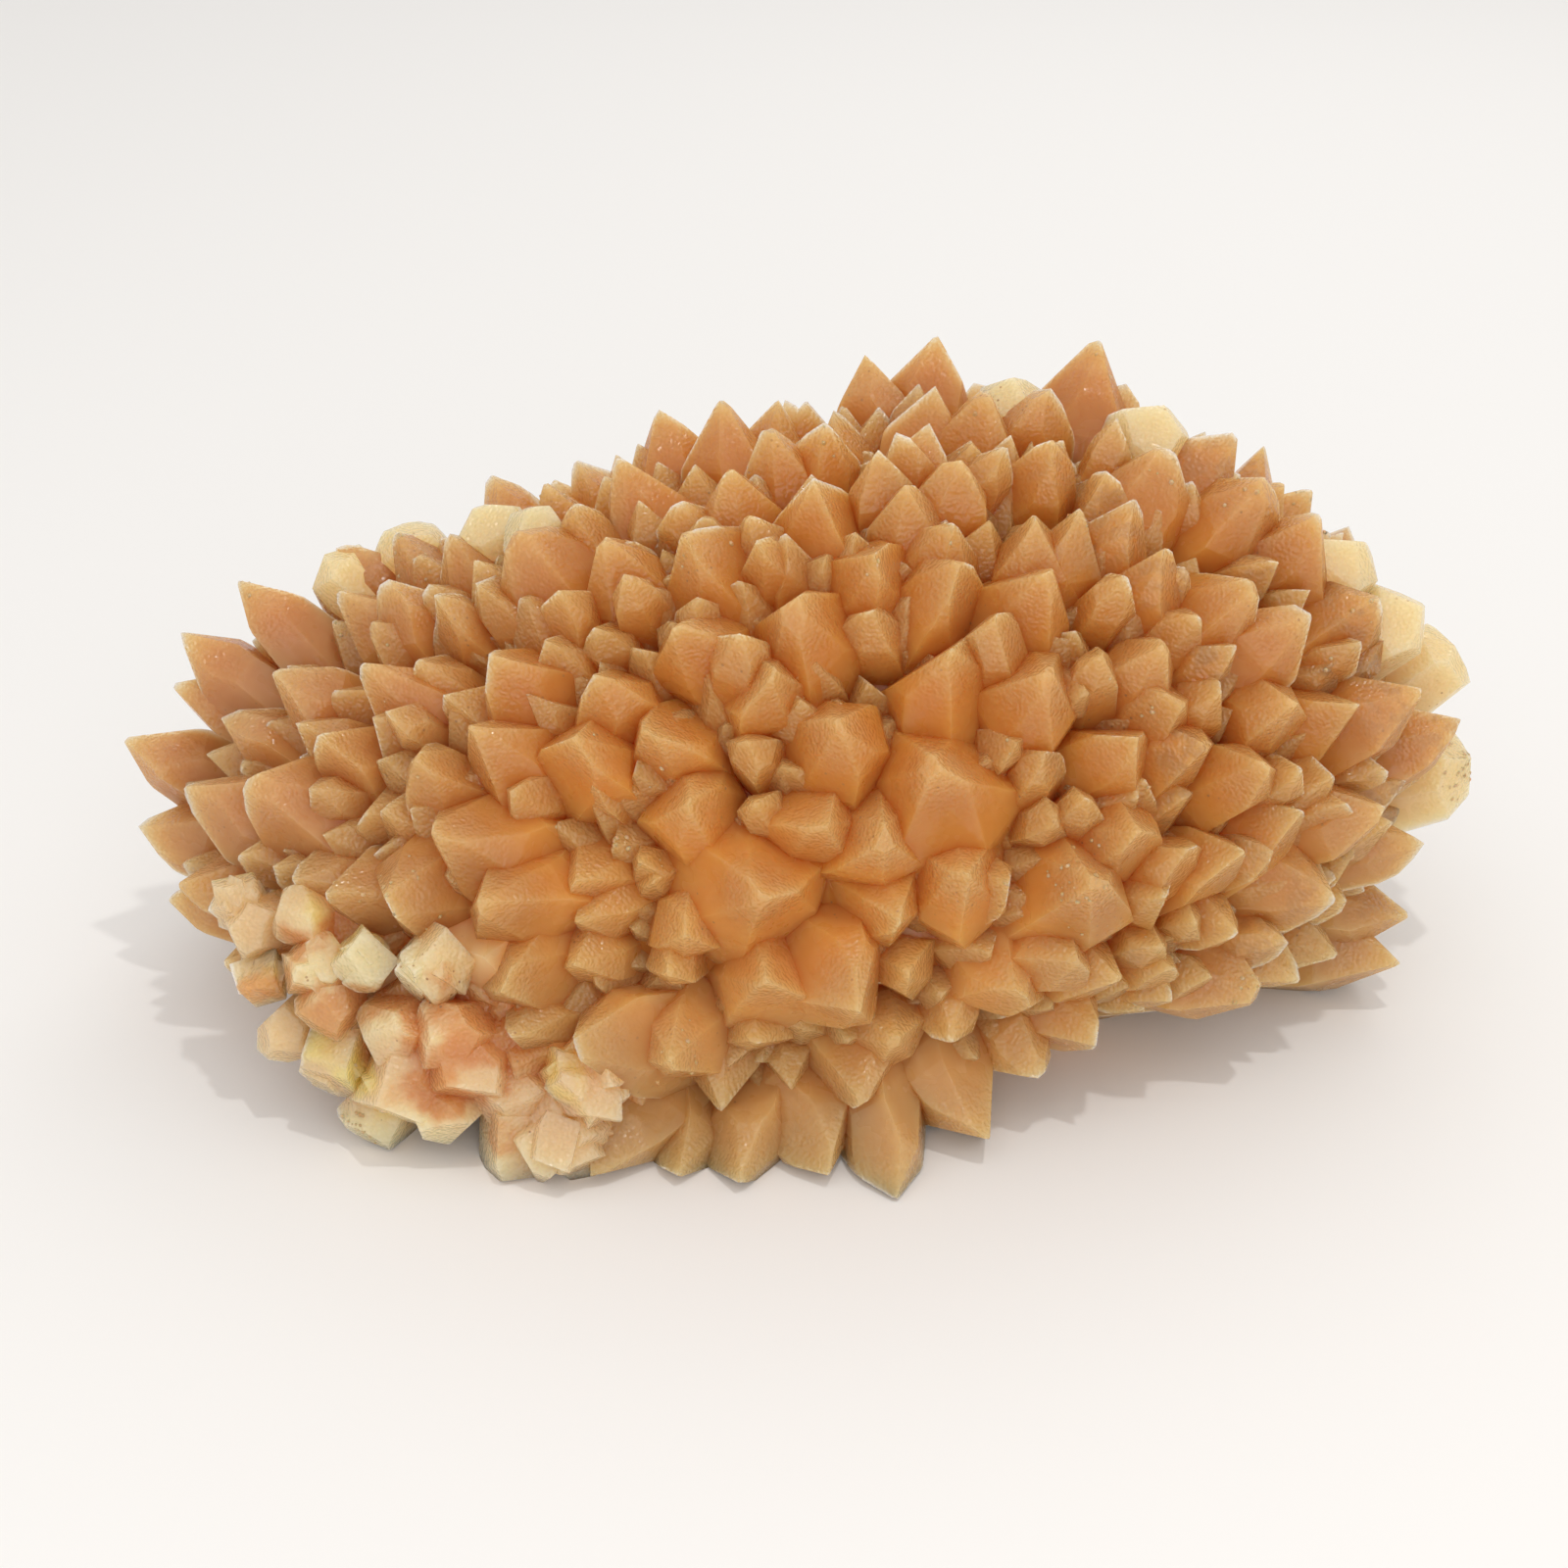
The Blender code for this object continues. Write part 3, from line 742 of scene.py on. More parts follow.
@dataclass
class ClusterSkin:
    """The fused, worn skin of the whole cluster."""

    shell: Shell
    crystals: list[Crystal]
    shift: Array
    wear: Wear = Wear()
    wear_seed: int = 1000
    edge_wear: float = 0.016
    edge_wear_spread: Span = (0.7, 1.5)
    block_wear: float = 6.5
    merge_distance: float = 1e-5
    flat_angle: float = math.radians(0.5)
    sharp_angle: float = math.radians(32.0)
    core_seed: int = 5
    core_subdivisions: int = 4
    core_bumps: float = 0.035
    core_raised: float = 0.74
    core_raised_from: float = -0.25
    core_raised_fade: float = 0.30
    corner_raised: float = 8.4
    corner_spread: float = 0.958
    ground_depth: float = 0.15
    tone_seed: int = 7
    core_tone: float = -1.0
    crust_seed: int = 17
    crusted_share: float = 0.22
    crust_strength: Span = (0.3, 1.0)
    crust_reach: float = 0.30
    block_crust: float = 0.05
    bare_foot: float = 0.004

    def build(self) -> Object:
        """Build the piece.

        Returns:
            The object, with its mesh in the row frame.
        """
        teeth = bpy.data.collections.new("teeth")
        bpy.context.scene.collection.children.link(teeth)
        for index, crystal in enumerate(self.crystals):
            teeth.objects.link(self.worn_crystal(crystal, index))
        skin = self.core()
        self.combine(skin, "UNION", collection=teeth)
        ground = self.ground()
        self.combine(skin, "DIFFERENCE", other=ground)
        for obj in [*teeth.objects, ground]:
            bpy.data.objects.remove(obj, do_unlink=True)
        bpy.data.collections.remove(teeth)
        keep_outer_skin(skin.data)
        self.record_growth(skin.data)
        skin.data.transform(Matrix.Translation(Vector(self.shift)))
        self.soften(skin)
        LOG.info("skin has %d faces", len(skin.data.polygons))
        return skin

    def dress(self, skin: Object, finish: Material) -> None:
        """Give the skin its material."""
        skin.data.materials.clear()
        skin.data.materials.append(finish)

    def worn_crystal(self, crystal: Crystal, index: int) -> Object:
        """Build one crystal with worn edges.

        Args:
            crystal: The crystal.
            index: Its place in the list. Every face carries the next number, the core's being
                nought.

        Returns:
            The object.
        """
        dice = Random(self.wear_seed + index)
        mesh = bmesh.new()
        for point in self.wear.corners(crystal, dice):
            mesh.verts.new(point)
        bmesh.ops.remove_doubles(mesh, verts=mesh.verts, dist=self.merge_distance)
        result = bmesh.ops.convex_hull(mesh, input=mesh.verts)
        inner = [item for item in result["geom_interior"] if isinstance(item, bmesh.types.BMVert)]
        bmesh.ops.delete(mesh, geom=inner, context="VERTS")
        bmesh.ops.dissolve_limit(mesh, angle_limit=self.flat_angle, verts=mesh.verts,
                                 edges=mesh.edges)
        bmesh.ops.recalc_face_normals(mesh, faces=mesh.faces)
        wear = crystal.width * self.edge_wear * dice.uniform(*self.edge_wear_spread)
        if crystal.habit is Habit.BLOCK:
            wear *= self.block_wear
        bmesh.ops.bevel(mesh, geom=list(mesh.edges), offset=wear,
                        segments=1 if crystal.small else 2, profile=0.5, affect="EDGES",
                        clamp_overlap=True)
        place = Matrix.Translation(Vector(crystal.origin)) @ Matrix(crystal.turn.tolist()).to_4x4()
        mesh.transform(place)
        return numbered_object(mesh, "tooth", index + 1)

    def core(self) -> Object:
        """Build the lumpy ground mass, a smaller egg on the same heart, raised at the corner.

        Returns:
            The object that the crystals are joined to.
        """
        mesh = bmesh.new()
        bmesh.ops.create_icosphere(mesh, subdivisions=self.core_subdivisions, radius=1.0)
        dice = Random(self.core_seed)
        for vert in mesh.verts:
            toward = unit(np.array(vert.co))
            high = held((toward[2] - self.core_raised_from) / self.core_raised_fade)
            if toward @ CORNER > self.corner_spread:
                high = 1.0 + self.corner_raised
            share = CORE_SHARE + (self.core_raised - CORE_SHARE) * high
            share *= 1.0 + dice.uniform(-self.core_bumps, self.core_bumps)
            vert.co = self.shell.point(toward, share)
        return in_scene(numbered_object(mesh, "calcite_skin", 0))

    def ground(self) -> Object:
        """Build a block whose top face is the flat cut under the cluster.

        Returns:
            The object to take away from the skin.
        """
        mesh = bmesh.new()
        bmesh.ops.create_cube(mesh, size=1.0)
        for vert in mesh.verts:
            vert.co.z = (vert.co.z - 0.5) * self.ground_depth
        return in_scene(numbered_object(mesh, "ground", 0))

    def combine(self, skin: Object, operation: str, collection: Collection | None = None,
                other: Object | None = None) -> None:
        """Apply one Boolean to the skin.

        Args:
            skin: The object to change.
            operation: The Boolean's name.
            collection: What is joined or taken away, if it is many objects.
            other: The same, if it is one object.
        """
        modifier = skin.modifiers.new(operation.title(), "BOOLEAN")
        modifier.operation = operation
        modifier.solver = "MANIFOLD"
        if collection:
            modifier.operand_type = "COLLECTION"
            modifier.collection = collection
        else:
            modifier.object = other
        apply_modifiers(skin)

    def record_growth(self, data: Mesh) -> None:
        """Store on the mesh what the materials read: each face's crystal, each corner's place.

        Args:
            data: The fused mesh, still in the frame that the crystals were laid out in.
        """
        numbers = fetch(data.attributes["crystal"].data, "value", dtype=np.int32)
        totals = fetch(data.polygons, "loop_total", dtype=np.int32)
        corner_numbers = np.repeat(numbers, totals)
        corner_verts = fetch(data.loops, "vertex_index", dtype=np.int32)
        points = fetch(data.vertices, "co", size=3)
        own = points[corner_verts].copy()
        own[corner_numbers == 0, 2] = -CRYSTAL_LENGTH
        for index, crystal in enumerate(self.crystals):
            mine = corner_numbers == index + 1
            if mine.any():
                own[mine] = crystal.to_own(points[corner_verts[mine]])
        store(data, "own", "FLOAT_VECTOR", "CORNER", own)
        store(data, "tone", "FLOAT", "FACE", self.tones()[numbers])
        # Paleness of the blunt rim crystals: partly their own cream, partly painted backlit glow
        store(data, "cream_and_backlit_glow", "FLOAT", "FACE", self.shares(Crystal.pale_and_glow_share)[numbers])
        store(data, "blocky", "FLOAT", "FACE", self.blocky(data, numbers))
        store(data, "deep", "FLOAT", "POINT", self.shell.depth(points))
        store(data, "crust", "FLOAT", "POINT", self.crust(points, numbers, data))

    def crust(self, points: Array, numbers: Array, data: Mesh) -> Array:
        """Tell how thickly tiny crystals grow: on some points, and thinly on rhombs.

        Args:
            points: The vertices.
            numbers: Each face's crystal, the core being nought.
            data: The fused mesh.

        Returns:
            A share for each vertex.
        """
        dice = Random(self.crust_seed)
        crusted = [0.0] + [float(dice.random() < self.crusted_share)
                           * dice.uniform(*self.crust_strength) for _ in self.crystals]
        share = np.zeros(len(points))
        for face, number in zip(data.polygons, numbers):
            if number == 0:
                continue
            crystal = self.crystals[number - 1]
            verts = list(face.vertices)
            along = crystal.to_own(points[verts])[:, 2]
            near = np.clip(1.0 + along / (crystal.width * self.crust_reach), 0.0, 1.0)
            if crystal.habit is Habit.BLOCK:
                near = np.full(len(verts), self.block_crust)
            share[verts] = np.maximum(share[verts], near * crusted[number])
        share[points[:, 2] < self.bare_foot] = 0.0
        return share

    def blocky(self, data: Mesh, numbers: Array) -> Array:
        """Mark the faces of the stained corner, the ground mass there included.

        Args:
            data: The fused mesh.
            numbers: Each face's crystal, the core being nought.

        Returns:
            One for each face of the corner and nought for the others.
        """
        blocky = self.shares(Crystal.is_corner)[numbers]
        toward = unit(fetch(data.polygons, "center", size=3) - self.shell.heart)
        blocky[(numbers == 0) & (toward @ CORNER > self.corner_spread)] = 1.0
        return blocky

    def tones(self) -> Array:
        """A tone of its own for the core and a random one for each crystal."""
        dice = Random(self.tone_seed)
        return np.array([self.core_tone] + [dice.random() for _ in self.crystals])

    def shares(self, measure: Callable[[Crystal], float]) -> Array:
        """What a measure gives for each crystal, after nought for the core."""
        return np.array([0.0] + [float(measure(crystal)) for crystal in self.crystals])

    def soften(self, skin: Object) -> None:
        """Shade the worn edges round and the crystal faces flat.

        Args:
            skin: The object to shade.
        """
        data = skin.data
        data.polygons.foreach_set("use_smooth", [True] * len(data.polygons))
        data.set_sharp_from_angle(angle=self.sharp_angle)
        modifier = skin.modifiers.new("Face weights", "WEIGHTED_NORMAL")
        modifier.keep_sharp = True
        apply_modifiers(skin)


def in_scene(obj: Object) -> Object:
    """Put an object in the scene and return it."""
    bpy.context.scene.collection.objects.link(obj)
    return obj


def as_object(mesh: bmesh.types.BMesh, name: str) -> Object:
    """Turn a finished mesh into an object, and free the draft.

    Args:
        mesh: The draft.
        name: The name of the object and of its mesh.

    Returns:
        The object, not yet in the scene.
    """
    data = bpy.data.meshes.new(name)
    mesh.to_mesh(data)
    mesh.free()
    return bpy.data.objects.new(name, data)


def numbered_object(mesh: bmesh.types.BMesh, name: str, number: int) -> Object:
    """Turn a finished mesh into an object whose faces all carry a number.

    Args:
        mesh: The draft.
        name: The name of the object and of its mesh.
        number: The crystal's number.

    Returns:
        The object, not yet in the scene.
    """
    obj = as_object(mesh, name)
    attribute = obj.data.attributes.new("crystal", "INT", "FACE")
    attribute.data.foreach_set("value", [number] * len(obj.data.polygons))
    return obj


def fetch(items: Sequence, name: str, size: int = 1, dtype: type = np.float64) -> Array:
    """Read one property of every item of a mesh.

    Args:
        items: The vertices, corners, faces or attribute values.
        name: The property.
        size: How many numbers each item has.
        dtype: The kind of number.

    Returns:
        One number or row for each item.
    """
    values = np.zeros(len(items) * size, dtype=dtype)
    items.foreach_get(name, values)
    return values if size == 1 else values.reshape(-1, size)


def store(data: Mesh, name: str, kind: str, domain: str, values: Array) -> None:
    """Write one attribute of a mesh.

    Args:
        data: The mesh.
        name: The attribute.
        kind: Its data type.
        domain: What it is stored for.
        values: One number or row for each item of the domain.
    """
    attribute = data.attributes.new(name, kind, domain)
    field = "vector" if kind == "FLOAT_VECTOR" else "value"
    attribute.data.foreach_set(field, np.asarray(values, dtype=np.float32).ravel())


def apply_modifiers(obj: Object) -> None:
    """Replace the object's mesh with what its modifiers make of it.

    Args:
        obj: The object, whose modifiers are removed.
    """
    graph = bpy.context.evaluated_depsgraph_get()
    data = bpy.data.meshes.new_from_object(obj.evaluated_get(graph))
    obj.modifiers.clear()
    obj.data = data


def keep_outer_skin(data: Mesh) -> None:
    """Keep the largest connected skin of a mesh, so that no sealed cavity stays inside.

    Args:
        data: The mesh to change.
    """
    mesh = bmesh.new()
    mesh.from_mesh(data)
    waiting = set(mesh.verts)
    groups = []
    while waiting:
        group = [waiting.pop()]
        for vert in group:
            for edge in vert.link_edges:
                other = edge.other_vert(vert)
                if other in waiting:
                    waiting.remove(other)
                    group.append(other)
        groups.append(group)
    groups.sort(key=len)
    for group in groups[:-1]:
        bmesh.ops.delete(mesh, geom=group, context="VERTS")
    mesh.to_mesh(data)
    mesh.free()


class Value:
    """A number, vector or colour in a node tree, written with plain operators."""

    def __init__(self, graph: Graph, socket: NodeSocket) -> None:
        """Wrap an output socket of a graph."""
        self.graph = graph
        self.socket = socket

    def __add__(self, other: Value | float) -> Value:
        """This and another, added."""
        return self.graph.maths("ADD", self, other)

    def __sub__(self, other: Value | float) -> Value:
        """This less another."""
        return self.graph.maths("SUBTRACT", self, other)

    def __mul__(self, other: Value | float) -> Value:
        """This times another."""
        return self.graph.maths("MULTIPLY", self, other)

    def __radd__(self, other: float) -> Value:
        """A number and this, added."""
        return self.graph.maths("ADD", other, self)

    def __rsub__(self, other: float) -> Value:
        """A number less this."""
        return self.graph.maths("SUBTRACT", other, self)

    def __rmul__(self, other: float) -> Value:
        """A number times this."""
        return self.graph.maths("MULTIPLY", other, self)

    def fade(self, span: Span) -> Value:
        """A smooth step: nought at the span's start and before it, one at its end and past it."""
        inputs = {"Value": self, "From Min": span[0], "From Max": span[1]}
        node = self.graph.node("ShaderNodeMapRange", inputs, interpolation_type="SMOOTHSTEP")
        return Value(self.graph, node.outputs["Result"])


class Nodes:
    """A node tree, built one node at a time."""

    def __init__(self, tree: NodeTree) -> None:
        """Build in this tree."""
        self.tree = tree

    def node(self, kind: str, inputs: dict[str | int, object] | None = None,
             **settings: object) -> Node:
        """Add a node.

        Args:
            kind: The node's type name.
            inputs: Values or links for its sockets, by name or place.
            **settings: Properties of the node, which are set first.

        Returns:
            The new node.
        """
        node = self.tree.nodes.new(kind)
        for name, value in settings.items():
            setattr(node, name, value)
        for key, value in (inputs or {}).items():
            socket = self.socket(node, key)
            source = value.socket if isinstance(value, Value) else value
            if isinstance(source, NodeSocket):
                self.tree.links.new(source, socket)
            else:
                socket.default_value = source
        return node

    def socket(self, node: Node, key: str | int) -> NodeSocket:
        """The node's input of a place, or the visible one of a name."""
        if isinstance(key, int):
            return node.inputs[key]
        return next(item for item in node.inputs if item.name == key and item.enabled)


class Graph(Nodes):
    """A material and its node tree."""

    def __init__(self, name: str) -> None:
        """Start an empty material."""
        self.material = bpy.data.materials.new(name)
        self.material.use_nodes = True
        super().__init__(self.material.node_tree)
        self.tree.nodes.clear()

    def surface(self, inputs: dict[str, object]) -> Material:
        """Close the material with a Principled shader.

        Args:
            inputs: Values or links for the shader's sockets.

        Returns:
            The material.
        """
        shader = self.node("ShaderNodeBsdfPrincipled", inputs)
        self.node("ShaderNodeOutputMaterial", {"Surface": shader.outputs["BSDF"]})
        return self.material

    def place(self) -> Value:
        """The place in the object."""
        return Value(self, self.node("ShaderNodeTexCoord").outputs["Object"])

    def maths(self, operation: str, first: Value | float, second: Value | float) -> Value:
        """A Math node's result."""
        node = self.node("ShaderNodeMath", {0: first, 1: second}, operation=operation)
        return Value(self, node.outputs[0])

    def mix(self, share: Value | float, low: Value | Colour, high: Value | Colour) -> Value:
        """A colour between two colours."""
        node = self.node("ShaderNodeMix", {0: share, 6: low, 7: high}, data_type="RGBA")
        return Value(self, node.outputs[2])

    def attribute(self, name: str, output: str = "Fac") -> Value:
        """What the mesh stores under a name."""
        node = self.node("ShaderNodeAttribute", attribute_name=name)
        return Value(self, node.outputs[output])

    def noise(self, where: Value, scale: float, detail: float = 1.0) -> Value:
        """A soft noise from nought to one."""
        inputs = {"Vector": where, "Scale": scale, "Detail": detail}
        return Value(self, self.node("ShaderNodeTexNoise", inputs).outputs["Fac"])

    def cells(self, where: Value, scale: float) -> Value:
        """How far it is to the nearest of scattered points, in cells."""
        node = self.node("ShaderNodeTexVoronoi", {"Vector": where, "Scale": scale})
        return Value(self, node.outputs["Distance"])

    def stretched(self, where: Value, scale: tuple[float, float, float]) -> Value:
        """A vector with each part scaled."""
        node = self.node("ShaderNodeVectorMath", {0: where, 1: scale}, operation="MULTIPLY")
        return Value(self, node.outputs["Vector"])

    def parts(self, vector: Value) -> tuple[Value, Value, Value]:
        """The three numbers of a vector."""
        node = self.node("ShaderNodeSeparateXYZ", {0: vector})
        return tuple(Value(self, output) for output in node.outputs)


@dataclass(frozen=True)
class Surroundings:
    """What every part of the calcite's look is worked out from."""

    graph: Graph
    where: Value
    own: Value
    tip: Value
    cloud: Value
    grain: Value
    tone: Value
    deep: Value


@dataclass(frozen=True)
class Calcite:
    """Milky, honey-coloured calcite, paler at its points and stained where it is blocky.

    Heights, sides and depths are in metres or shares of the shell, noise scales are per metre,
    and every fade runs from the first number of its span to the second.
    """

    honey: Colour = (0.430, 0.208, 0.068, 1.0)
    amber: Colour = (0.400, 0.188, 0.054, 1.0)
    # Painted glow: a brighter orange laid where the crystals lie deep, which lifts the shade in the
    # crevices
    painted_crevice_glow: Colour = (0.720, 0.290, 0.058, 1.0)
    # Darker, deeper orange over the top: partly the upper crystals' own colour, partly painted
    # shade
    top_orange_and_shade: Colour = (0.470, 0.168, 0.030, 1.0)
    root: Colour = (0.600, 0.225, 0.036, 1.0)
    peach: Colour = (0.455, 0.222, 0.096, 1.0)
    pale: Colour = (0.540, 0.335, 0.146, 1.0)
    # Cream of the blunt rim crystals: partly their own colour, partly painted backlit glow
    cream_and_backlit_glow: Colour = (0.800, 0.590, 0.320, 1.0)
    chalk: Colour = (0.840, 0.620, 0.350, 1.0)
    ash: Colour = (0.690, 0.450, 0.250, 1.0)
    straw: Colour = (0.800, 0.560, 0.210, 1.0)
    syrup: Colour = (0.720, 0.380, 0.120, 1.0)
    rust: Colour = (0.560, 0.200, 0.050, 1.0)
    dust: Colour = (0.300, 0.155, 0.070, 1.0)

    scatter: tuple[float, float, float] = (1.0, 0.78, 0.58)
    scatter_scale: float = 0.030
    refraction: float = 1.56
    gloss: float = 0.32
    milk: float = 0.88

    tip_reach: Span = (-0.020, -0.001)
    cloud_scale: float = 60.0
    grain_scale: float = 260.0
    honey_share: Span = (0.1, 1.0)
    veil_stretch: tuple[float, float, float] = (1.0, 1.0, 0.4)
    veil_scale: float = 190.0
    veil_share: Span = (0.48, 0.72)
    veil_strength: float = 0.28
    # Where the painted crevice glow lies: its depth under the shell, and the heights over which it
    # grows stronger
    painted_glow_depth: Span = (0.03, 0.15)
    painted_glow_height: Span = (0.02, 0.10)
    painted_glow_low: float = 0.55
    painted_glow_rise: float = 0.40
    # Heights over which the top turns darker and deeper orange, partly own colour and partly
    # painted shade
    top_orange_and_shade_height: Span = (0.035, 0.10)
    top_orange_and_shade_strength: float = 0.65
    peach_side: Span = (-0.030, -0.130)
    peach_strength: float = 0.55
    # Paler towards the floor: partly the paler lower crystals, partly painted light lifting the
    # shade there
    pale_and_lit_foot_height: Span = (0.065, 0.010)
    pale_and_lit_foot_strength: float = 0.40
    frost_share: Span = (0.02, 0.60)
    frost_strength: float = 0.50
    dusty_tone: Span = (0.55, 0.75)
    dusty_side: Span = (0.03, 0.08)
    dusty_grain: Span = (0.42, 0.62)
    dusty_strength: float = 0.55
    cream_and_glow_strength: float = 0.85
    root_tone: Span = (-0.1, -0.6)

    patch_scale: float = 32.0
    chalk_share: Span = (0.42, 0.64)
    straw_share: Span = (0.42, 0.30)
    syrup_depth: Span = (0.00, 0.13)
    syrup_strength: float = 0.75
    stain_scale: float = 45.0
    stain_share: Span = (0.62, 0.74)
    stain_strength: float = 0.8
    blocky_strength: float = 0.92
    speck_scale: float = 420.0
    speck_size: Span = (0.17, 0.08)
    speck_cloud: Span = (0.56, 0.66)
    speck_strength: float = 0.8

    frosted_share: Span = (0.45, 0.80)
    shine_low: float = 0.17
    shine_high: float = 0.50
    ridge_stretch: tuple[float, float, float] = (1.0, 1.0, 0.12)
    ridge_scale: float = 600.0
    pit_scale: float = 1300.0
    ridge_height: float = 0.45
    grain_height: float = 0.5
    pit_height: float = 2.4
    relief_strength: float = 0.45
    relief_depth: float = 0.0008

    def material(self) -> Material:
        """Build the material.

        Returns:
            The material.
        """
        graph = Graph("calcite")
        where = graph.place()
        own = graph.attribute("own", "Vector")
        _, _, along = graph.parts(own)
        around = Surroundings(
            graph, where, own, tip=along.fade(self.tip_reach),
            cloud=graph.noise(where, self.cloud_scale), grain=graph.noise(where, self.grain_scale),
            tone=graph.attribute("tone"), deep=graph.attribute("deep"))
        return graph.surface({
            "Base Color": self.colour(around),
            "Roughness": self.roughness(around),
            "Normal": self.relief(around),
            "IOR": self.refraction,
            "Specular IOR Level": self.gloss,
            "Subsurface Weight": self.milk,
            "Subsurface Radius": self.scatter,
            "Subsurface Scale": self.scatter_scale,
        })

    def colour(self, around: Surroundings) -> Value:
        """Lay the stained corner and the dark grains over the honey calcite.

        Args:
            around: What the look is worked out from.

        Returns:
            The colour of the surface.
        """
        graph = around.graph
        blocky = graph.attribute("blocky") * self.blocky_strength
        body = graph.mix(blocky, self.honey_calcite(around), self.stained_calcite(around))
        near = graph.cells(around.where, self.speck_scale).fade(self.speck_size)
        specks = near * around.cloud.fade(self.speck_cloud) * self.speck_strength
        return graph.mix(specks, body, self.dust)

    def honey_calcite(self, around: Surroundings) -> Value:
        """Lay the tints of the pointed and the rim crystals over one another, painted light and
        shade among them.

        Args:
            around: What the look is worked out from.

        Returns:
            The colour away from the stained corner.
        """
        graph, tone, tip = around.graph, around.tone, around.tip
        cloud, grain = around.cloud, around.grain
        across, _, up = graph.parts(around.where)
        veil = graph.noise(graph.stretched(around.own, self.veil_stretch), self.veil_scale)
        # Painted glow: how strongly the crevice glow shows, more towards the top
        painted_glow_share = up.fade(self.painted_glow_height) * self.painted_glow_rise + self.painted_glow_low
        frost = tip * (grain * 0.5 + cloud * 0.5 + 0.10)
        dusty = tip * tone.fade(self.dusty_tone) * across.fade(self.dusty_side)
        dusty = dusty * grain.fade(self.dusty_grain)
        body = graph.mix((tone * 0.8 + cloud * 0.5).fade(self.honey_share), self.amber, self.honey)
        for share, tint in (
            (veil.fade(self.veil_share) * self.veil_strength, self.pale),
            # Painted glow: deep under the shell the colour turns a brighter orange, where shade
            # would fall
            (around.deep.fade(self.painted_glow_depth) * painted_glow_share, self.painted_crevice_glow),
            # Towards the top the colour turns darker and deeper orange: partly the crystals' own
            # colour, partly painted shade
            (up.fade(self.top_orange_and_shade_height) * self.top_orange_and_shade_strength, self.top_orange_and_shade),
            (across.fade(self.peach_side) * self.peach_strength, self.peach),
            # Paler towards the floor: partly the lower crystals' own colour, partly painted light
            # that lifts the shade near the floor
            (up.fade(self.pale_and_lit_foot_height) * self.pale_and_lit_foot_strength, self.pale),
            (frost.fade(self.frost_share) * self.frost_strength, self.pale),
            (dusty * self.dusty_strength, self.dust),
            # Blunt rim crystals turn cream: partly their own colour, partly painted glow of light
            # shining through them
            (graph.attribute("cream_and_backlit_glow") * self.cream_and_glow_strength, self.cream_and_backlit_glow),
            (tone.fade(self.root_tone), self.root),
        ):
            body = graph.mix(share, body, tint)
        return body

    def stained_calcite(self, around: Surroundings) -> Value:
        """Lay the iron stains over the chalky calcite of the corner.

        Args:
            around: What the look is worked out from.

        Returns:
            The colour of the stained corner.
        """
        graph = around.graph
        patch = graph.noise(around.where, self.patch_scale, 0.0) + around.tone * 0.08
        stain = graph.noise(around.where, self.stain_scale) + around.grain * 0.15
        block = graph.mix(patch.fade(self.chalk_share), self.ash, self.chalk)
        for share, tint in (
            (around.cloud.fade(self.straw_share), self.straw),
            (around.deep.fade(self.syrup_depth) * self.syrup_strength, self.syrup),
            (stain.fade(self.stain_share) * self.stain_strength, self.rust),
        ):
            block = graph.mix(share, block, tint)
        return block

    def roughness(self, around: Surroundings) -> Value:
        """Glossy faces with frosted patches and points."""
        share = (around.cloud * 0.7 + around.grain * 0.5).fade(self.frosted_share)
        share = share * (1.0 - around.tip * 0.8)
        return share * (self.shine_high - self.shine_low) + self.shine_low

    def relief(self, around: Surroundings) -> Value:
        """Work out growth ridges along the crystals, dimples and pitted points.

        Args:
            around: What the look is worked out from.

        Returns:
            The normal.
        """
        graph = around.graph
        ridges = graph.noise(graph.stretched(around.own, self.ridge_stretch), self.ridge_scale, 0.0)
        pits = graph.noise(around.own, self.pit_scale, 0.0) * around.tip
        height = ridges * self.ridge_height + around.grain * self.grain_height
        height = height + pits * self.pit_height
        node = graph.node("ShaderNodeBump", {
            "Strength": self.relief_strength, "Distance": self.relief_depth, "Height": height})
        return Value(graph, node.outputs["Normal"])


@dataclass(frozen=True)
class Frost:
    """Pale, sugary calcite that crusts the points."""

    tint: Colour = (0.640, 0.430, 0.230, 1.0)
    shade: Colour = (0.560, 0.340, 0.150, 1.0)
    mottle_scale: float = 180.0
    mottle_share: Span = (0.35, 0.65)
    scatter: tuple[float, float, float] = (1.0, 0.5, 0.22)
    scatter_scale: float = 0.0005
    shine: float = 0.22
    shine_spread: float = 0.25

    def material(self) -> Material:
        """Build the material.

        Returns:
            The material.
        """
        graph = Graph("frost")
        mottle = graph.noise(graph.place(), self.mottle_scale, 2.0)
        return graph.surface({
            "Base Color": graph.mix(mottle.fade(self.mottle_share), self.shade, self.tint),
            "Roughness": mottle * self.shine_spread + self.shine,
            "Subsurface Weight": 1.0,
            "Subsurface Radius": self.scatter,
            "Subsurface Scale": self.scatter_scale,
        })


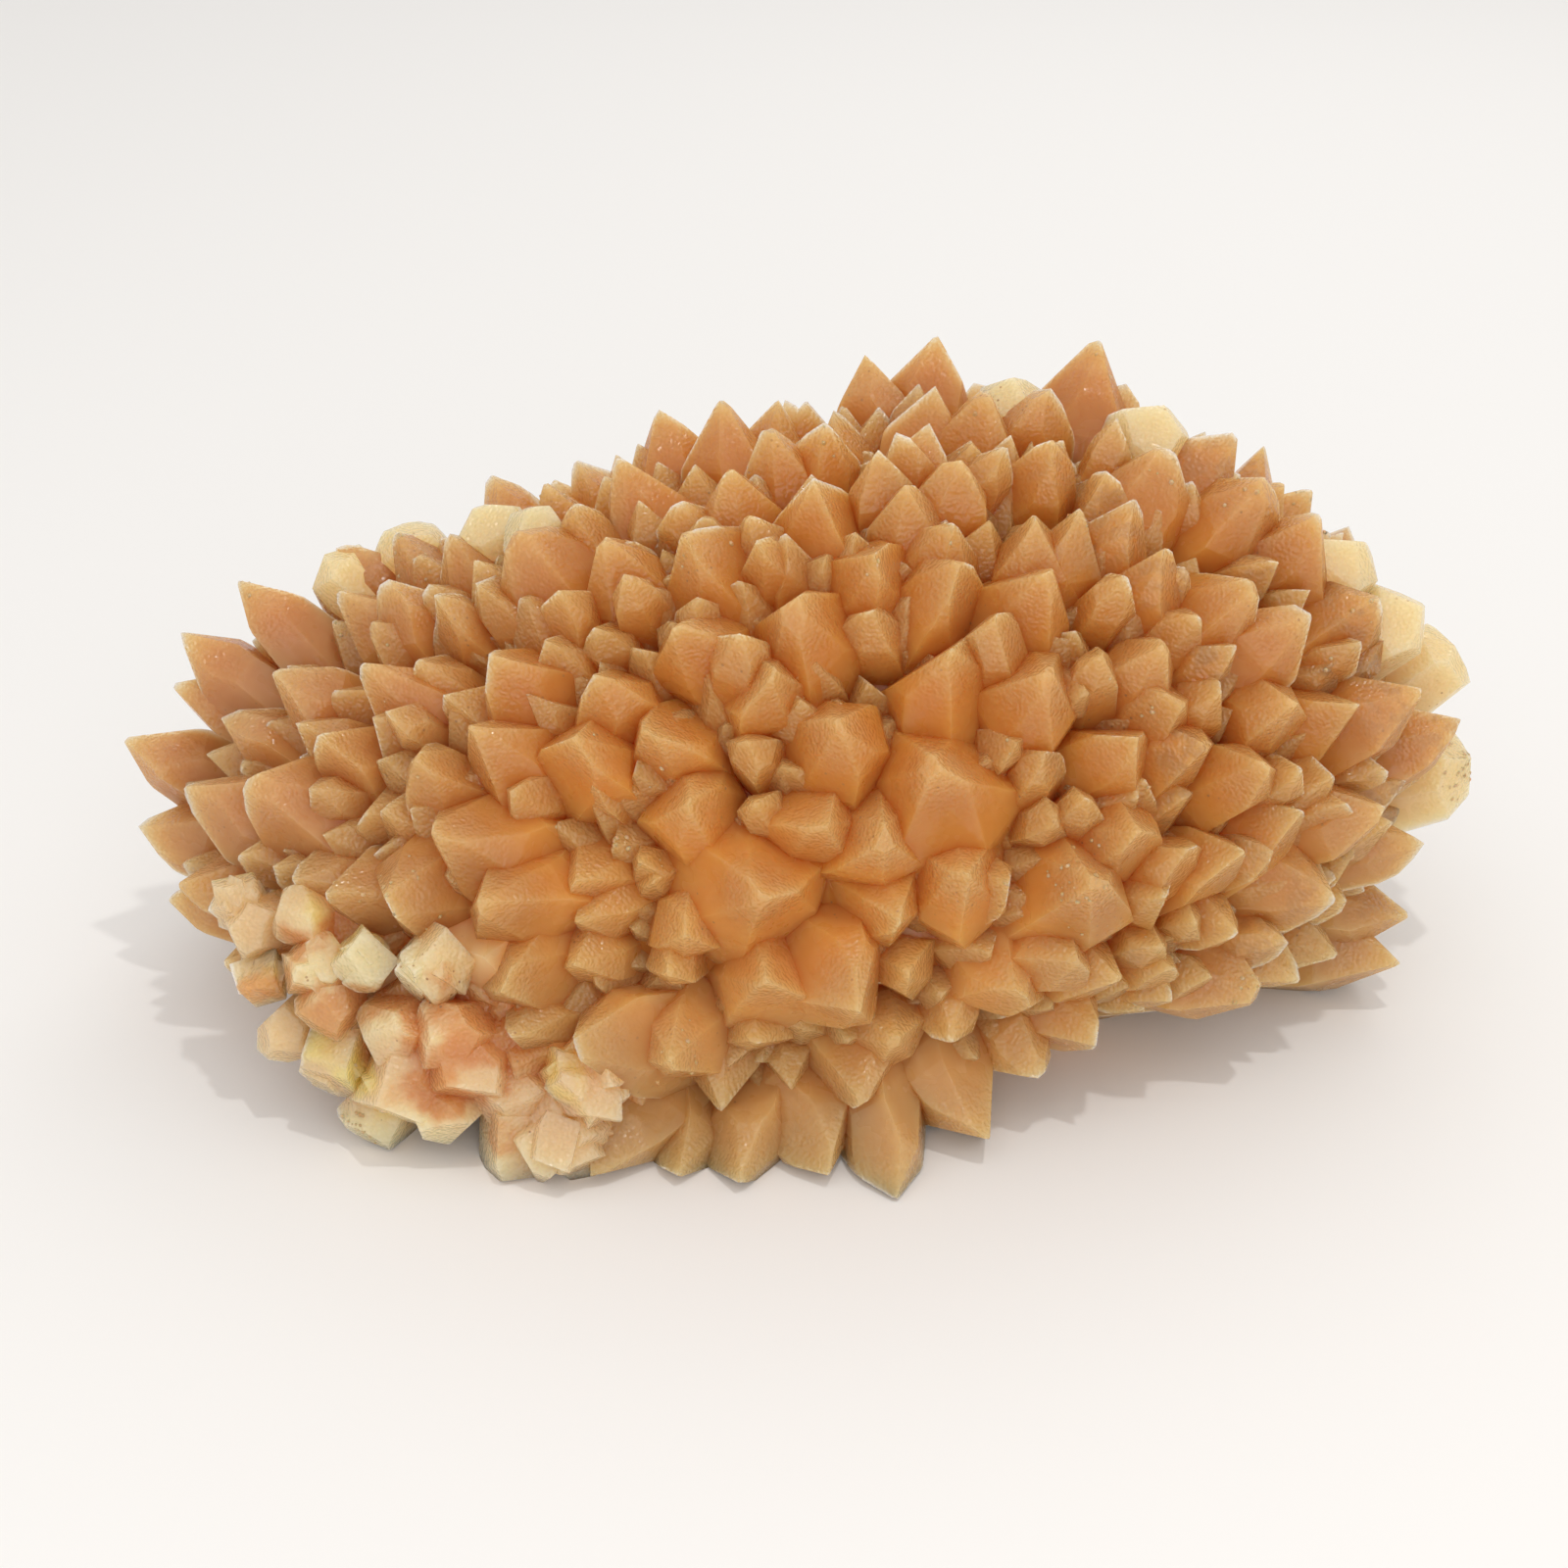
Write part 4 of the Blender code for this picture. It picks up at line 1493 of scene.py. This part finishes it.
@dataclass(frozen=True)
class Druse:
    """A crop of tiny crystals on the points of the large ones, grown by Geometry Nodes."""

    density: float = 2600000.0
    spacing: float = 0.00045
    gathering: float = 3.0
    size_low: float = 0.30
    size_high: float = 1.0
    grain_width: float = 0.00065
    grain_height: float = 0.00045
    seed: int = 9

    def build(self, skin: Object, finish: Material) -> Object:
        """Grow the tiny crystals on the skin.

        Args:
            skin: The cluster's skin, with its attributes.
            finish: The tiny crystals' material.

        Returns:
            A piece of its own.
        """
        tree = self.tree(finish)
        seedbed = in_scene(bpy.data.objects.new("calcite_druse", skin.data.copy()))
        modifier = seedbed.modifiers.new("Druse", "NODES")
        modifier.node_group = tree
        sizes = {"Density": self.density, "Spacing": self.spacing, "Width": self.grain_width,
                 "Height": self.grain_height, "Seed": self.seed}
        for item in tree.interface.items_tree:
            if item.name in sizes:
                modifier[item.identifier] = sizes[item.name]
        apply_modifiers(seedbed)
        LOG.info("druse has %d faces", len(seedbed.data.polygons))
        return seedbed

    def tree(self, finish: Material) -> NodeTree:
        """Build the node tree: points on the crystal tips, a tiny crystal on each.

        Args:
            finish: The tiny crystals' material.

        Returns:
            The tree.
        """
        tree = bpy.data.node_groups.new("Druse", "GeometryNodeTree")
        tree.interface.new_socket("Geometry", in_out="INPUT", socket_type="NodeSocketGeometry")
        for name in ("Density", "Spacing", "Width", "Height"):
            tree.interface.new_socket(name, in_out="INPUT", socket_type="NodeSocketFloat")
        tree.interface.new_socket("Seed", in_out="INPUT", socket_type="NodeSocketInt")
        tree.interface.new_socket("Geometry", in_out="OUTPUT", socket_type="NodeSocketGeometry")
        nodes = Nodes(tree)
        given = nodes.node("NodeGroupInput").outputs
        crusted = nodes.node("GeometryNodeInputNamedAttribute", {"Name": "crust"},
                             data_type="FLOAT")
        gathered = nodes.node("ShaderNodeMath", {0: crusted.outputs["Attribute"],
                                                 1: self.gathering}, operation="POWER")
        points = nodes.node("GeometryNodeDistributePointsOnFaces", {
            "Mesh": given["Geometry"], "Distance Min": given["Spacing"],
            "Density Max": given["Density"], "Density Factor": gathered.outputs["Value"],
            "Seed": given["Seed"]}, distribute_method="POISSON")
        grain = nodes.node("GeometryNodeMeshCone", {
            "Vertices": 6, "Radius Bottom": given["Width"], "Depth": given["Height"]},
            fill_type="NGON")
        size = nodes.node("FunctionNodeRandomValue", {
            "Min": self.size_low, "Max": self.size_high, "Seed": given["Seed"]},
            data_type="FLOAT")
        sown = nodes.node("GeometryNodeInstanceOnPoints", {
            "Points": points.outputs["Points"], "Instance": grain.outputs["Mesh"],
            "Rotation": points.outputs["Rotation"], "Scale": size.outputs[1]})
        real = nodes.node("GeometryNodeRealizeInstances", {"Geometry": sown.outputs["Instances"]})
        dressed = nodes.node("GeometryNodeSetMaterial", {"Geometry": real.outputs["Geometry"],
                                                         "Material": finish})
        nodes.node("NodeGroupOutput", {"Geometry": dressed.outputs["Geometry"]})
        return tree


@dataclass(frozen=True)
class Softbox:
    """A square area light."""

    name: str
    place: tuple[float, float, float]
    size: float
    power: float
    colour: tuple[float, float, float]

    def build(self, aim: Vector) -> None:
        """Add the light.

        Args:
            aim: The point that it looks at.
        """
        data = bpy.data.lights.new(self.name, "AREA")
        data.shape = "SQUARE"
        data.size = self.size
        data.energy = self.power
        data.color = self.colour
        lamp = in_scene(bpy.data.objects.new(self.name, data))
        lamp.location = self.place
        lamp.rotation_euler = (aim - Vector(self.place)).to_track_quat("-Z", "Y").to_euler()


@dataclass(frozen=True)
class Studio:
    """Pale floor, white surroundings, soft lights and the camera."""

    aim: Vector
    distance: float = 0.60
    elevation: float = math.radians(30.0)
    lens: float = 60.0
    sensor: float = 36.0
    floor_size: float = 8.0
    floor_colour: Colour = (0.86, 0.85, 0.84, 1.0)
    floor_roughness: float = 0.9
    sky_colour: Colour = (1.0, 0.985, 0.965, 1.0)
    sky_strength: float = 0.83
    diffuse_bounces: int = 2
    lit_point: tuple[float, float, float] = (0.0, 0.0, 0.05)
    lights: tuple[Softbox, ...] = (
        Softbox("key", (-0.25, -0.45, 1.05), 0.60, 0.6, (1.0, 0.97, 0.93)),
        Softbox("glint", (0.18, -0.30, 1.10), 0.04, 2.0, (1.0, 0.99, 0.96)),
        Softbox("fill", (0.10, -1.10, 0.40), 0.90, 3.6, (1.0, 0.98, 0.95)),
        Softbox("back", (0.35, 0.80, 0.80), 0.70, 1.4, (1.0, 0.98, 0.95)),
    )

    def build(self) -> None:
        """Build the stage."""
        self.floor()
        self.sky()
        for light in self.lights:
            light.build(Vector(self.lit_point))
        self.camera()
        bpy.context.scene.view_settings.view_transform = "Standard"
        bpy.context.scene.cycles.diffuse_bounces = self.diffuse_bounces

    def floor(self) -> None:
        """A wide pale floor."""
        mesh = bmesh.new()
        bmesh.ops.create_grid(mesh, x_segments=1, y_segments=1, size=self.floor_size / 2)
        floor = in_scene(as_object(mesh, "floor"))
        floor.data.materials.append(Graph("floor").surface({
            "Base Color": self.floor_colour, "Roughness": self.floor_roughness}))

    def sky(self) -> None:
        """Even white light from all round."""
        world = bpy.data.worlds.new("studio")
        world.use_nodes = True
        shade = world.node_tree.nodes["Background"]
        shade.inputs["Color"].default_value = self.sky_colour
        shade.inputs["Strength"].default_value = self.sky_strength
        bpy.context.scene.world = world

    def camera(self) -> None:
        """The photograph's viewpoint."""
        data = bpy.data.cameras.new("camera")
        data.lens = self.lens
        data.sensor_width = self.sensor
        camera = in_scene(bpy.data.objects.new("camera", data))
        back = Vector((0.0, -math.cos(self.elevation), math.sin(self.elevation)))
        camera.location = self.aim + back * self.distance
        camera.rotation_euler = (-back).to_track_quat("-Z", "Y").to_euler()
        bpy.context.scene.camera = camera


def sideways_shift(crystals: list[Crystal]) -> Array:
    """Tell how far the CAD source moved the cluster to stand over the origin.

    Args:
        crystals: The crystals that the CAD source has.

    Returns:
        The shift.
    """
    corners = np.vstack([crystal.plain_corners() for crystal in crystals])
    corners = corners[corners[:, 2] > 0.0]
    low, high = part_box(CAD_NODE)
    middle = (corners.min(axis=0) + corners.max(axis=0)) / 2
    shift = (np.array(low) + np.array(high)) / 2 - middle
    return np.array((shift[0], shift[1], 0.0))


def main() -> None:
    """Dress the CAD part and set the stage."""
    logging.basicConfig(level=logging.INFO)
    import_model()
    shell = Shell(HEART, SHELL_HALVES, SHELL_ROLL, SHELL_YAW, SHELL_LEAN)
    layout = Layout(shell)
    placed = list(layout.placed())
    standing = [crystal for _, crystal in placed] + list(layout.filling(placed))
    shift = sideways_shift(standing)
    LOG.info("%d crystals from the CAD source, shifted by %s", len(standing), shift)
    under = Undergrowth(layout)
    low = Undergrowth(layout, seed=81, trials=5000, width=0.0165, parent_share=0.40,
                      own_share=0.56, reach_low=0.80, reach_high=0.88)
    crystals = [*standing, *under.between(standing), *under.beside(standing),
                *low.between(standing)]
    LOG.info("%d crystals in all", len(crystals))
    cluster = ClusterSkin(shell, crystals, shift)
    skin = cluster.build()
    cluster.dress(skin, Calcite().material())
    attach(skin, "root")
    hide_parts(CAD_NODE)
    druse = Druse().build(skin, Frost().material())
    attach(druse, "root")
    Studio(Vector(CAMERA_AIM) + Vector(shift)).build()


if __name__ == "__main__":
    main()
